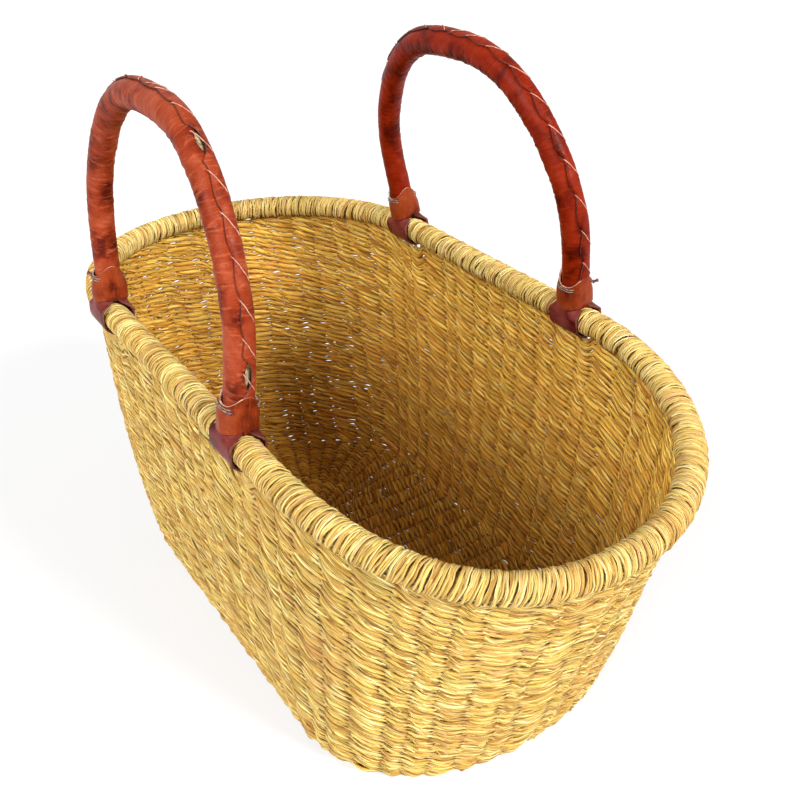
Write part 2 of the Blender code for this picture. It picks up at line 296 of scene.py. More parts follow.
class Surface:
    """The wall's middle surface, read by the share of the way round and the depth."""

    levels: int = 90

    def __init__(self, form: BasketForm) -> None:
        """Works the surface out.

        Args:
            form: The basket's form.
        """
        self.form = form
        self.rings = np.array(
            [form.wall_level(share) for share in np.linspace(0.0, 1.0, self.levels + 1)]
        )
        ahead = unit(np.roll(self.rings, -1, axis=1) - np.roll(self.rings, 1, axis=1))
        down = unit(np.gradient(self.rings, axis=0))
        self.out = unit(np.cross(down, ahead))
        self.out *= np.where(self.out[..., 2:] > 0.6, -1.0, 1.0)
        self.up = unit(np.cross(self.out, ahead))
        steps = np.linalg.norm(np.diff(self.rings, axis=0), axis=2).mean(axis=1)
        self.run = np.concatenate([[0.0], np.cumsum(steps)])

    @property
    def depth(self) -> float:
        """The wall's mean length from the rim down to the floor."""
        return float(self.run[-1])

    def read(
        self, shares: np.ndarray, depths: np.ndarray
    ) -> tuple[np.ndarray, np.ndarray, np.ndarray]:
        """Reads the surface.

        Args:
            shares: How far round, in turns.
            depths: How far below the rim's bundle.

        Returns:
            The places, the outward and the upward directions there.
        """
        level = np.interp(depths, self.run, np.arange(len(self.run)))
        upper = np.minimum(level.astype(int), self.levels - 1)
        mix_down = (level - upper)[:, None]
        turn = (shares % 1.0) * self.form.ring_points
        first = np.floor(turn).astype(int)
        mix_along = (turn - first)[:, None]
        first %= self.form.ring_points
        second = (first + 1) % self.form.ring_points

        def blend(field: np.ndarray) -> np.ndarray:
            """Reads one field.

            Args:
                field: Its values at the levels' own points.

            Returns:
                The values at the wanted places.
            """
            above = field[upper, first] * (1 - mix_along) + field[upper, second] * mix_along
            below = (
                field[upper + 1, first] * (1 - mix_along) + field[upper + 1, second] * mix_along
            )
            return above * (1 - mix_down) + below * mix_down

        return blend(self.rings), unit(blend(self.out)), unit(blend(self.up))


class Shade:
    """A material's node tree, put together node by node."""

    def __init__(self, name: str) -> None:
        """Starts a material with its one Principled shader.

        Args:
            name: The material's name.
        """
        self.material = bpy.data.materials.new(name)
        self.material.use_nodes = True
        self.tree = self.material.node_tree
        self.principled = self.tree.nodes["Principled BSDF"]

    def node(self, kind: str, **settings: object) -> bpy.types.Node:
        """Adds a node.

        Args:
            kind: The node's type, without its ShaderNode prefix.
            settings: Its properties.

        Returns:
            The node.
        """
        made = self.tree.nodes.new("ShaderNode" + kind)
        for name, value in settings.items():
            setattr(made, name, value)
        return made

    def feed(self, socket: Socket, source: object) -> None:
        """Links a socket to an output, or sets its own value.

        Args:
            socket: The socket.
            source: The output or the value.
        """
        if isinstance(source, Socket):
            self.tree.links.new(source, socket)
        else:
            socket.default_value = source

    def math(self, operation: str, first: object, second: object = 0.5) -> Socket:
        """One sum on two numbers.

        Args:
            operation: The kind of sum.
            first: The first number or output.
            second: The second.

        Returns:
            The result.
        """
        made = self.node("Math", operation=operation)
        self.feed(made.inputs[0], first)
        self.feed(made.inputs[1], second)
        return made.outputs[0]

    def times(self, first: object, second: object) -> Socket:
        """The product of two numbers."""
        return self.math("MULTIPLY", first, second)

    def plus(self, first: object, second: object) -> Socket:
        """The sum of two numbers."""
        return self.math("ADD", first, second)

    def parts(self, vector: Socket) -> tuple[Socket, ...]:
        """Splits a vector.

        Args:
            vector: The vector.

        Returns:
            Its three numbers.
        """
        split = self.node("SeparateXYZ")
        self.feed(split.inputs[0], vector)
        return tuple(split.outputs)

    def attribute(self, name: str) -> tuple[Socket, ...]:
        """The three numbers of a piece's own attribute."""
        return self.parts(self.node("Attribute", attribute_name=name).outputs["Vector"])

    def uv(self) -> tuple[Socket, ...]:
        """The two numbers of the piece's own UV map."""
        return self.parts(self.node("TexCoord").outputs["UV"])[:2]

    def place(self) -> Socket:
        """Object coordinates, in metres."""
        return self.node("TexCoord").outputs["Object"]

    def vector(self, x: object, y: object, z: object = 0.0) -> Socket:
        """Three numbers as one vector.

        Args:
            x: The first number or output.
            y: The second.
            z: The third.

        Returns:
            The vector.
        """
        made = self.node("CombineXYZ")
        for socket, source in zip(made.inputs, (x, y, z)):
            self.feed(socket, source)
        return made.outputs[0]

    def noise(
        self, vector: Socket, scale: float, detail: float = 2.0, distortion: float = 0.0
    ) -> Socket:
        """Smooth noise.

        Args:
            vector: Where it is read.
            scale: How many lumps it has for each unit.
            detail: How many finer layers it has.
            distortion: How far it is bent.

        Returns:
            A value from 0 to 1.
        """
        made = self.node("TexNoise")
        self.feed(made.inputs["Vector"], vector)
        made.inputs["Scale"].default_value = scale
        made.inputs["Detail"].default_value = detail
        made.inputs["Distortion"].default_value = distortion
        return made.outputs["Fac"]

    def chance(self, number: Socket, other: object = 0.0) -> Socket:
        """A random value for each pair of whole numbers.

        Args:
            number: The first whole number.
            other: The second.

        Returns:
            A value from 0 to 1.
        """
        made = self.node("TexWhiteNoise", noise_dimensions="2D")
        self.feed(made.inputs["Vector"], self.vector(number, other))
        return made.outputs["Value"]

    def ramp(self, value: Socket, stops: tuple[tuple[float, Colour], ...]) -> Socket:
        """A colour for each value.

        Args:
            value: A value from 0 to 1.
            stops: Places from 0 to 1 with their colours.

        Returns:
            The colour between its two stops.
        """
        made = self.node("ValToRGB")
        elements = made.color_ramp.elements
        while len(elements) < len(stops):
            elements.new(1.0)
        for element, (place, colour) in zip(elements, stops):
            element.position = place
            element.color = (*colour, 1.0)
        self.feed(made.inputs[0], value)
        return made.outputs["Color"]

    def spread(self, value: Socket, old: tuple[float, float], new: tuple[float, float]) -> Socket:
        """Maps one span of numbers onto another, held at its ends.

        Args:
            value: The number to map.
            old: The span it comes from.
            new: The span it goes to.

        Returns:
            The mapped number.
        """
        made = self.node("MapRange")
        self.feed(made.inputs["Value"], value)
        for name, number in zip(("From Min", "From Max", "To Min", "To Max"), (*old, *new)):
            made.inputs[name].default_value = number
        return made.outputs["Result"]

    def blend(self, share: object, first: object, second: object, way: str = "MIX") -> Socket:
        """Mixes two colours.

        Args:
            share: How much of the second.
            first: The first colour.
            second: The second.
            way: How they are mixed.

        Returns:
            The mixed colour.
        """
        made = self.node("Mix", data_type="RGBA", blend_type=way)
        self.feed(made.inputs["Factor"], share)
        for name, source in (("A", first), ("B", second)):
            socket = next(s for s in made.inputs if s.name == name and s.type == "RGBA")
            self.feed(socket, (*source, 1.0) if isinstance(source, tuple) else source)
        return next(s for s in made.outputs if s.type == "RGBA")

    def scaled(self, colour: object, share: Socket) -> Socket:
        """A colour made lighter or darker by a number."""
        return self.blend(1.0, colour, self.vector(share, share, share), "MULTIPLY")

    def coat(self, colour: object, roughness: object, sheen: float | None = None) -> None:
        """Gives the shader its colour, roughness and sheen.

        Args:
            colour: The colour.
            roughness: The roughness.
            sheen: How strongly it mirrors, or None for the shader's own.
        """
        self.feed(self.principled.inputs["Base Color"], colour)
        self.feed(self.principled.inputs["Roughness"], roughness)
        if sheen is not None:
            self.feed(self.principled.inputs["Specular IOR Level"], sheen)

    def bump(self, height: Socket, strength: float, distance: float) -> None:
        """Presses a height into the surface, over any height already there.

        Args:
            height: The height.
            strength: How much of it shows.
            distance: How deep it is.
        """
        made = self.node("Bump")
        made.inputs["Strength"].default_value = strength
        made.inputs["Distance"].default_value = distance
        self.feed(made.inputs["Height"], height)
        socket = self.principled.inputs["Normal"]
        if socket.links:
            self.feed(made.inputs["Normal"], socket.links[0].from_socket)
        self.feed(socket, made.outputs["Normal"])


@dataclass(frozen=True)
class StrawFinish:
    """Dry grass straws, twisted together along the strands of a piece.

    The piece's attribute "lay" holds each strand's number, how far it stands out of the grooves
    and its length. Its UV runs along and round each strand. Shade is painted into its colour
    between straws and rows, where strands dive behind stakes and inside the basket.

    Attributes:
        name: The material's name.
        colours: The straws' colours, by chance.
        painted_gap_shade: The painted shade's colour between straws, between strands and at dives.
        seam: How dark the painted shade along a strand's flanks, between the rows, gets.
        painted_dive_shade: How dark the painted shade gets at most where a strand dives behind
            a stake.
        stitches: How many times it dives along its length, each dive's painted shade dark by
            chance.
        straws: How many straws lie round a strand.
        twist: The length of one full twist.
        line: How dark the painted shade in the line between two straws is.
        cut_length: How long one straw's colour lasts.
        fibre_length: How long one of its fibres is.
        roughness: The mean roughness.
        relief: How deep the fibres are.
        ridge: How deep the lines between straws are.
        sheen: How strongly it mirrors.
        weathered: The colour of its browner patches.
        patches: How many such patches it has for each metre.
        painted_inside_shade: Whether shade is painted on the strands' inner sides, browner
            and darker lower in the basket.
        painted_shade_low: What the inner sides' colours are multiplied by low in the basket,
            as painted shade.
        painted_shade_high: What they are multiplied by under the rim.
        painted_shade_span: The heights of both.
        floor_top: The heights between which a dive's full painted shade ends above the floor.
    """

    name: str
    colours: tuple[tuple[float, Colour], ...]
    painted_gap_shade: Colour = (0.13, 0.045, 0.008)
    seam: float = 0.80
    painted_dive_shade: float = 0.85
    stitches: float = 68.0
    straws: float = 9.0
    twist: float = 0.040
    line: float = 0.50
    cut_length: float = 0.022
    fibre_length: float = 0.011
    roughness: float = 0.48
    relief: float = 0.00012
    ridge: float = 0.0004
    sheen: float = 0.16
    weathered: Colour = (0.58, 0.30, 0.09)
    patches: float = 26.0
    painted_inside_shade: bool = True
    painted_shade_low: Colour = (0.99, 0.72, 0.36)
    painted_shade_high: Colour = (1.16, 1.01, 0.66)
    painted_shade_span: tuple[float, float] = (0.02, 0.185)
    floor_top: tuple[float, float] = (0.006, 0.014)

    def material(self) -> bpy.types.Material:
        """Builds the material.

        Returns:
            The material.
        """
        shade = Shade(self.name)
        number, crown, length = shade.attribute("lay")
        strand = shade.math("ROUND", number)
        along, round_it = shade.uv()
        run = shade.times(along, length)
        fibre_place = shade.vector(
            shade.math("DIVIDE", run, self.fibre_length), shade.times(round_it, 6.0), strand
        )
        fibre = shade.noise(fibre_place, 1.0, 3.0)
        wound = shade.plus(
            shade.times(round_it, self.straws),
            shade.math("DIVIDE", run, self.twist / self.straws),
        )
        wound = shade.plus(wound, shade.times(fibre, 0.9))
        straw = shade.plus(shade.math("FLOOR", wound), shade.times(strand, 57.0))
        cell = shade.plus(shade.math("DIVIDE", run, self.cut_length), shade.chance(straw))
        tone = shade.chance(straw, shade.math("FLOOR", cell))
        strand_tone = shade.spread(shade.chance(strand, 5.0), (0.0, 1.0), (0.84, 1.08))
        streak = shade.times(shade.spread(fibre, (0.32, 0.68), (0.74, 1.12)), strand_tone)
        colour = shade.scaled(shade.ramp(tone, self.colours), streak)
        ridge = shade.math("ABSOLUTE", shade.math("SINE", shade.times(wound, math.pi)))
        # Painted shade in the lines between the twisted straws.
        between = shade.spread(ridge, (0.0, 0.5), (self.line, 0.0))
        colour = shade.blend(between, colour, self.painted_gap_shade)
        patch = shade.noise(shade.place(), self.patches, 3.0)
        patch = shade.spread(patch, (0.45, 0.72), (0.0, 0.30))
        colour = shade.blend(patch, colour, self.weathered)
        turned = shade.times(round_it, TURN)
        flank = shade.math("ABSOLUTE", shade.math("SINE", turned))
        # Painted shade where a strand dives behind a stake: dark by chance at each dive, on its
        # flanks and near the floor.
        stitch = shade.math("FLOOR", shade.times(along, self.stitches))
        deep = shade.spread(shade.chance(strand, stitch), (0.25, 1.0), (0.15, 1.0))
        up = shade.parts(shade.place())[2]
        edge = shade.math(
            "MAXIMUM",
            shade.spread(flank, (0.25, 0.75), (0.12, 1.0)),
            shade.spread(up, self.floor_top, (0.85, 0.0)),
        )
        deep = shade.times(deep, edge)
        painted_dive_shade = shade.times(deep, shade.spread(crown, (0.0, 0.75), (self.painted_dive_shade, 0.0)))
        colour = shade.blend(painted_dive_shade, colour, self.painted_gap_shade)
        # Painted shade along the strands' flanks, between the rows, stronger near the dives.
        flank = shade.plus(flank, shade.spread(crown, (0.0, 0.75), (0.34, 0.0)))
        seam = shade.spread(flank, (0.93, 1.12), (0.0, self.seam))
        colour = shade.blend(seam, colour, self.painted_gap_shade)
        # Painted shade inside the basket: the strands' inner sides browner and darker lower down.
        if self.painted_inside_shade:
            height = shade.spread(up, self.painted_shade_span, (0.0, 1.0))
            painted_shade_tint = shade.ramp(height, ((0.0, self.painted_shade_low), (1.0, self.painted_shade_high)))
            inner = shade.spread(shade.math("COSINE", turned), (-0.35, 0.35), (1.0, 0.0))
            colour = shade.blend(inner, colour, shade.blend(1.0, colour, painted_shade_tint, "MULTIPLY"))
        rough = (self.roughness - 0.1, self.roughness + 0.14)
        shade.coat(colour, shade.spread(fibre, (0.3, 0.7), rough), self.sheen)
        shade.bump(fibre, 0.6, self.relief)
        shade.bump(ridge, 0.9, self.ridge)
        return shade.material


@dataclass(frozen=True)
class LeatherFinish:
    """Dyed goat leather on a piece whose UV runs along and across it.

    Attributes:
        name: The material's name.
        dark: The dye where it is deepest.
        middle: The dye's usual colour.
        worn: The colour where it is rubbed and dusty.
        length: The piece's length along U.
        width: Its width along V.
        roughness: The mean roughness.
        crease: How deep its fine creases are.
        worn_share: How much of the worn colour shows where it is rubbed.
        sheen: How strongly it mirrors.
        clouds: How many clouds of dye it has for each metre.
        creases: How many creases it has for each metre across it.
        pores: How many pores it has for each metre.
    """

    name: str
    dark: Colour
    middle: Colour
    worn: Colour
    length: float
    width: float
    roughness: float = 0.45
    crease: float = 0.00025
    worn_share: float = 0.5
    sheen: float = 0.07
    clouds: float = 70.0
    creases: float = 130.0
    pores: float = 1500.0

    def material(self) -> bpy.types.Material:
        """Builds the material.

        Returns:
            The material.
        """
        shade = Shade(self.name)
        along, across = shade.uv()
        run = shade.times(along, self.length)
        side = shade.times(across, self.width)
        here = shade.place()
        cloud = shade.noise(here, self.clouds, 4.0, 0.4)
        faded = tuple(0.6 * m + 0.4 * w for m, w in zip(self.middle, self.worn))
        colour = shade.ramp(cloud, ((0.34, self.dark), (0.50, self.middle), (0.72, faded)))
        folds = shade.noise(shade.vector(shade.times(run, 4.0), side), self.creases, 3.0, 0.6)
        rubbed = shade.spread(folds, (0.52, 0.70), (0.0, self.worn_share))
        colour = shade.blend(rubbed, colour, self.worn)
        pores = shade.noise(here, self.pores, 2.0)
        colour = shade.scaled(colour, shade.spread(pores, (0.3, 0.5), (0.78, 1.0)))
        rough = (self.roughness - 0.08, self.roughness + 0.15)
        shade.coat(colour, shade.spread(folds, (0.3, 0.7), rough), self.sheen)
        shade.bump(folds, 0.9, self.crease)
        shade.bump(pores, 0.35, 0.00006)
        return shade.material


@dataclass(frozen=True)
class PlainFinish:
    """A small plain piece with a mottled colour and a fine grain.

    Attributes:
        name: The material's name.
        low: The darker colour.
        high: The paler one.
        scale: How many mottles it has for each metre.
        roughness: The roughness.
        relief: How deep the grain is.
    """

    name: str
    low: Colour
    high: Colour
    scale: float = 900.0
    roughness: float = 0.6
    relief: float = 0.0001

    def material(self) -> bpy.types.Material:
        """Builds the material.

        Returns:
            The material.
        """
        shade = Shade(self.name)
        mottle = shade.noise(shade.place(), self.scale, 3.0)
        shade.coat(shade.ramp(mottle, ((0.35, self.low), (0.65, self.high))), self.roughness)
        shade.bump(mottle, 0.5, self.relief)
        return shade.material


WEAVE_STRAW = StrawFinish(
    name="woven_straw",
    colours=(
        (0.0, (0.25, 0.11, 0.02)),
        (0.12, (0.48, 0.26, 0.046)),
        (0.34, (0.61, 0.375, 0.074)),
        (0.58, (0.69, 0.475, 0.11)),
        (0.78, (0.79, 0.62, 0.20)),
        (0.86, (0.88, 0.75, 0.32)),
        (0.93, (0.54, 0.41, 0.08)),
        (1.0, (0.69, 0.35, 0.15)),
    ),
)
RIM_STRAW = StrawFinish(
    name="rim_straw",
    colours=(
        (0.0, (0.30, 0.14, 0.03)),
        (0.12, (0.53, 0.31, 0.07)),
        (0.35, (0.67, 0.45, 0.115)),
        (0.62, (0.75, 0.57, 0.18)),
        (0.82, (0.84, 0.69, 0.30)),
        (0.91, (0.54, 0.42, 0.09)),
        (1.0, (0.70, 0.37, 0.18)),
    ),
    straws=3.0,
    twist=0.16,
    line=0.30,
    painted_dive_shade=0.6,
    stitches=7.0,
    roughness=0.42,
    painted_inside_shade=False,
)
STAKE_STRAW = PlainFinish("stake_straw", (0.26, 0.15, 0.04), (0.48, 0.30, 0.09), 300.0, 0.7)
ROPE_STRAW = PlainFinish("rope_straw", (0.24, 0.17, 0.08), (0.52, 0.42, 0.24), 500.0, 0.7)
RAW_EDGE = PlainFinish("raw_leather_edge", (0.30, 0.12, 0.07), (0.62, 0.36, 0.25), 700.0, 0.75)
DYED_EDGE = PlainFinish(
    "dyed_leather_edge", (0.05, 0.008, 0.004), (0.16, 0.035, 0.018), 700.0, 0.7
)
THONG = PlainFinish("pale_thong", (0.28, 0.09, 0.055), (0.55, 0.27, 0.19), 500.0, 0.6)
CORD = PlainFinish("collar_cord", (0.08, 0.05, 0.035), (0.27, 0.22, 0.17), 900.0, 0.7)
DARK_THONG = PlainFinish("dark_thong", (0.06, 0.012, 0.014), (0.22, 0.05, 0.05), 600.0, 0.4)


class Mesher:
    """Collects the grids of one piece and turns them into its object."""

    def __init__(self) -> None:
        """Starts an empty piece."""
        self.bm = bmesh.new()
        self.bm.loops.layers.uv.new("along_and_round")
        self.marks = self.bm.verts.layers.float_vector.new("lay")

    def sheet(
        self,
        columns: int,
        rows: int,
        place: Callable[[np.ndarray, np.ndarray], np.ndarray],
        marks: np.ndarray | None = None,
    ) -> None:
        """Adds a grid bent into shape and closes it where its edges meet.

        Args:
            columns: Faces along U.
            rows: Faces along V.
            place: Gives the places for shares along U and V.
            marks: What each vertex holds in the attribute "lay".
        """
        made = bmesh.ops.create_grid(
            self.bm, x_segments=columns, y_segments=rows, size=0.5, calc_uvs=True
        )["verts"]
        along = np.tile(np.arange(columns + 1) / columns, rows + 1)
        across = np.repeat(np.arange(rows + 1) / rows, columns + 1)
        for vertex, spot in zip(made, place(along, across).tolist()):
            vertex.co = spot
        if marks is not None:
            for vertex, mark in zip(made, marks.tolist()):
                vertex[self.marks] = mark
        bmesh.ops.remove_doubles(self.bm, verts=made, dist=WELD_DISTANCE)

    def strand(
        self,
        centre: np.ndarray,
        outward: np.ndarray,
        across: np.ndarray,
        thick: np.ndarray,
        wide: np.ndarray,
        sides: int,
        closed: bool,
        marks: np.ndarray | None = None,
    ) -> None:
        """Adds one strand, an oval section swept along its middle line.

        Args:
            centre: The middle line.
            outward: The section's first direction at each point.
            across: Its second direction, so that line, across and outward turn right-handed.
            thick: Half the thickness along the first.
            wide: Half the width along the second.
            sides: Faces round the section.
            closed: Whether the line's ends meet.
            marks: The attribute "lay" at each point of the line.
        """
        stations = len(centre)
        columns = stations if closed else stations - 1

        def place(along: np.ndarray, turned: np.ndarray) -> np.ndarray:
            """Bends the sheet round the middle line.

            Args:
                along: Shares along it.
                turned: Shares round it.

            Returns:
                The places.
            """
            index = np.rint(along * columns).astype(int) % stations
            angle = TURN * turned
            return (
                centre[index]
                + outward[index] * (thick[index] * np.cos(angle))[:, None]
                + across[index] * (wide[index] * np.sin(angle))[:, None]
            )

        spread = None
        if marks is not None:
            spread = marks[np.tile(np.arange(columns + 1), sides + 1) % stations]
        self.sheet(columns, sides, place, spread)

    def finish(
        self,
        name: str,
        body: str,
        slot: str,
        materials: tuple[bpy.types.Material, ...],
        replaces: tuple[str, ...] = (),
    ) -> bpy.types.Object:
        """Makes the piece's object.

        Args:
            name: Its name.
            body: The body that it rides on.
            slot: The record's material slot, not used.
            materials: Its materials, the first for all its faces.
            replaces: The nodes that it stands for.

        Returns:
            The object.
        """
        mesh = bpy.data.meshes.new(name)
        self.bm.to_mesh(mesh)
        self.bm.free()
        mesh.shade_smooth()
        for material in materials:
            mesh.materials.append(material)
        piece = bpy.data.objects.new(name, mesh)
        bpy.context.scene.collection.objects.link(piece)
        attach(piece, body)
        if replaces:
            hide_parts(*replaces)
        LOG.info("%s: %d faces", name, len(mesh.polygons))
        return piece


def thicken(piece: bpy.types.Object, thickness: float, offset: float, round_over: float) -> None:
    """Gives a sheet its thickness, with its second material on the cut edges.

    Args:
        piece: The sheet.
        thickness: How thick it is.
        offset: -1 where the sheet is the outer face, 0 where it is the middle.
        round_over: How far the edges are rounded, or 0.
    """
    solid = piece.modifiers.new("thickness", "SOLIDIFY")
    solid.thickness = thickness
    solid.offset = offset
    solid.use_even_offset = True
    solid.material_offset_rim = 1
    if round_over:
        edge = piece.modifiers.new("rounded_edges", "BEVEL")
        edge.width = round_over
        edge.segments = 2
        edge.limit_method = "ANGLE"
        edge.angle_limit = math.radians(50.0)
        edge.harden_normals = False


@dataclass
class Twining:
    """Pairs of straw wefts that turn about each other between the stakes.

    Attributes:
        form: The basket's form.
        surface: The wall's middle surface.
        pitch: The height of one row.
        swing: How far a weft's middle stands off the middle surface over a stake.
        slant: How far it climbs and falls in a row.
        half_height: Half the height of a weft over a stake.
        half_thickness: Half its thickness.
        squeeze: What is left of its height where two wefts cross.
        uneven: How much the wefts' sizes differ.
        stand_out: How much their swings differ.
        stagger: How far their stitches lie up or down.
        row_wander: How far the rows wander up and down.
        stake_wander: How far the stakes wander, as a share of their spacing.
        low_swing: How much more it swings at the wall's foot.
        floor_swing: How much of the swing the floor's rings have.
        slot: How far the rows are pushed down under a strap.
        slot_reach: From and to where they are pushed, along the rim from the foot.
        slot_depth: How far down the wall they are.
        stations: Points for each stake.
        sides: Faces round a weft.
        wall_pieces: How many pieces the wall's rows make.
        floor_pieces: How many the floor's rings make.
        stake_radius: Half a stake's thickness.
        stake_width: How many times wider it is than thick.
        seed: The seed of chance.
    """

    form: BasketForm
    surface: Surface
    pitch: float = 0.0035
    swing: float = 0.00122
    slant: float = 0.0016
    half_height: float = 0.00172
    half_thickness: float = 0.00108
    squeeze: float = 0.97
    uneven: float = 0.09
    stand_out: float = 0.17
    stagger: float = 0.00026
    row_wander: float = 0.00016
    stake_wander: float = 0.075
    low_swing: float = 0.4
    floor_swing: float = 1.65
    slot: float = 0.0072
    slot_reach: tuple[float, float] = (0.0105, 0.0185)
    slot_depth: float = 0.04
    stations: int = 8
    sides: int = 6
    wall_pieces: int = 4
    floor_pieces: int = 2
    stake_radius: float = 0.0009
    stake_width: float = 2.4
    seed: int = 41

    def __post_init__(self) -> None:
        """Draws the slow waves of the rows and stakes and counts the rows."""
        self.rng = np.random.default_rng(self.seed)
        self.row_waves = [
            (int(k), self.rng.uniform(-60, 60), self.rng.uniform(0, TURN), self.row_wander)
            for k in (2, 5, 9, 14, 21)
        ]
        self.stake_waves = [
            (int(k), self.rng.uniform(-25, 25), self.rng.uniform(0, TURN), self.stake_wander)
            for k in (7, 12, 19, 25, 31)
        ]
        self.rows = int(self.surface.depth / self.pitch)
        self.rings = int((self.form.floor_half_width + self.form.turn_width) / self.pitch)

    def wave(
        self, waves: list[tuple[int, float, float, float]], shares: np.ndarray, depth: float
    ) -> np.ndarray:
        """Adds up slow waves round the basket at one depth.

        Args:
            waves: The waves: how many round, tilt, start and size.
            shares: Where round the basket, in turns.
            depth: How far below the rim.

        Returns:
            Their sum at each place.
        """
        return sum(
            size * np.sin(TURN * number * shares + tilt * depth + start)
            for number, tilt, start, size in waves
        )

    def share_of(self, phase: np.ndarray, depth: float) -> np.ndarray:
        """Where round the basket a place between the stakes is, in turns."""
        even = phase / self.form.stakes
        return even + self.wave(self.stake_waves, even, depth) / self.form.stakes

    def parted(self, places: np.ndarray, depth: float) -> np.ndarray:
        """How far the rows are pushed down where a strap passes through the wall.

        Args:
            places: Points of the wall.
            depth: The row's own depth.

        Returns:
            The extra depth at each point.
        """
        along = places[:, 0] - self.form.handle_centre
        from_foot = np.abs(np.abs(along) - self.form.foot_half_spacing)
        near = 1 - ease(*self.slot_reach, from_foot)
        near *= np.abs(places[:, 1]) > 0.05
        return self.slot * near * max(0.0, 1 - depth / self.slot_depth)

    def weft(
        self,
        mesher: Mesher,
        middle: tuple[np.ndarray, np.ndarray, np.ndarray],
        phase: np.ndarray,
        number: int,
        swing_share: float,
    ) -> None:
        """Adds the two wefts of one row.

        Args:
            mesher: Where they go.
            middle: The row's middle line, with its outward and upward directions.
            phase: How many stakes each point has passed.
            number: The row's number.
            swing_share: How much of the swing the row has.
        """
        line, outward, up = middle
        length = length_of(line)
        count = len(line)
        waves = max(4, count // self.stations)
        for half in range(2):
            turned = math.pi * (phase + half)
            over = np.cos(turned)
            swing = (over + 0.10 * np.cos(3 * turned)) / 1.10
            climb = 0.2 * np.sin(turned) + 0.8 * np.arcsin(np.sin(turned)) / QUARTER
            steep = 1 + drift(self.rng, count, waves // 3, 0.14)
            crown = np.abs(over) ** 0.6
            stitch = np.floor(phase + half + 0.5).astype(int) % (waves + 2)
            size = 1 + drift(self.rng, count, waves // 2, self.uneven)
            size = size + self.rng.normal(0.0, self.uneven, waves + 2)[stitch] * crown
            lift = drift(self.rng, count, waves // 2, 0.00012)
            lift = lift + self.rng.normal(0.0, self.stagger, waves + 2)[stitch] * crown
            stand = 1 + self.rng.normal(0.0, self.stand_out, waves + 2)[stitch]
            gape = 1 + np.abs(drift(self.rng, count, waves, 0.14)) * (1 - crown)
            high = self.half_height * size * (self.squeeze + (1 - self.squeeze) * crown) / gape
            thin = self.half_thickness * (1 + 0.4 * (size - 1)) * (0.85 + 0.15 * crown)
            centre = (
                line
                + outward * (self.swing * swing_share * swing * stand)[:, None]
                + up * (lift - self.slant * steep * climb)[:, None]
            )
            # The second value, low where a weft dives behind a stake, sets where the finish paints
            # shade.
            marks = join(np.full(count, 2.0 * number + half), crown, np.full(count, length))
            mesher.strand(centre, outward, up, thin, high, self.sides, True, marks)

    def wall_row(self, mesher: Mesher, row: int) -> None:
        """Adds one row of the wall.

        Args:
            mesher: Where it goes.
            row: The row's number from the rim down.
        """
        depth = (row + 0.5) * self.surface.depth / self.rows
        count = self.stations * self.form.stakes
        phase = np.arange(count) / self.stations
        shares = self.share_of(phase + drift(self.rng, count, count // 9, 0.08), depth)
        flat, _, _ = self.surface.read(shares, np.full(count, depth))
        depths = depth + self.wave(self.row_waves, shares, depth) + self.parted(flat, depth)
        middle = self.surface.read(shares, depths)
        low = float(ease(self.surface.depth - 0.045, self.surface.depth, np.array(depth)))
        self.weft(mesher, middle, phase, row, 1 + self.low_swing * low)

    def floor_ring(self, mesher: Mesher, number: int) -> None:
        """Adds one ring of the floor.

        Args:
            mesher: Where it goes.
            number: The ring's number from the wall inward.
        """
        form = self.form
        reach = 1 - (number + 0.5) / self.rings
        outline = self.surface.rings[-1]
        focus = form.floor_half_length - form.floor_half_width
        spine = outline.copy()
        spine[:, 0] = np.clip(outline[:, 0], -focus, focus)
        spine[:, 1] = 0.0
        ring = spine + reach * (outline - spine)
        fan = np.abs(outline[:, 0]) > focus
        density = 1.0 if reach > 0.45 else 0.5 if reach > 0.2 else 0.25
        weights = np.where(fan, density, 1.0)
        passed = weights * form.stakes / form.ring_points
        total = 2 * max(2, round(passed.sum() / 2))
        run = np.concatenate([[0.0], np.cumsum(passed)]) * total / passed.sum()
        count = self.stations * total
        phase = np.arange(count) / self.stations
        shares = np.interp(phase, run, np.arange(len(run)) / form.ring_points)
        up = unit(outline - spine)
        down = np.tile((0.0, 0.0, -1.0), (form.ring_points, 1))
        middle = (around(ring, shares), around(down, shares), unit(around(up, shares)))
        self.weft(mesher, middle, phase, self.rows + number, self.floor_swing)

    def stakes_piece(self) -> None:
        """Builds the stakes, hidden but for the gaps between the wefts."""
        mesher = Mesher()
        for stake in range(self.form.stakes):
            depths = np.linspace(0.0, self.surface.depth, 26)
            shares = np.array([self.share_of(np.array([float(stake)]), d)[0] for d in depths])
            wall, out, _ = self.surface.read(shares, depths)
            foot = wall[-1]
            focus = self.form.floor_half_length - self.form.floor_half_width
            spine = np.array([np.clip(foot[0], -focus, focus), 0.0, foot[2]])
            fan = abs(foot[0]) > focus
            stop = 0.03 if not fan or stake % 4 == 0 else 0.25 if stake % 2 == 0 else 0.48
            inner = foot + np.linspace(0.08, 1 - stop, 8)[:, None] * (spine - foot)
            line = np.vstack([wall, inner])
            outward = np.vstack([out, np.tile((0.0, 0.0, -1.0), (8, 1))])
            ahead = unit(np.gradient(line, axis=0))
            across = unit(np.cross(outward, ahead))
            outward = unit(np.cross(ahead, across))
            size = pointed(np.full(len(line), self.stake_radius))
            wide = self.stake_width * size
            mesher.strand(line, outward, across, size, wide, self.sides, False)
        mesher.finish("stakes", "basket", "straw_weave", (STAKE_STRAW.material(),))

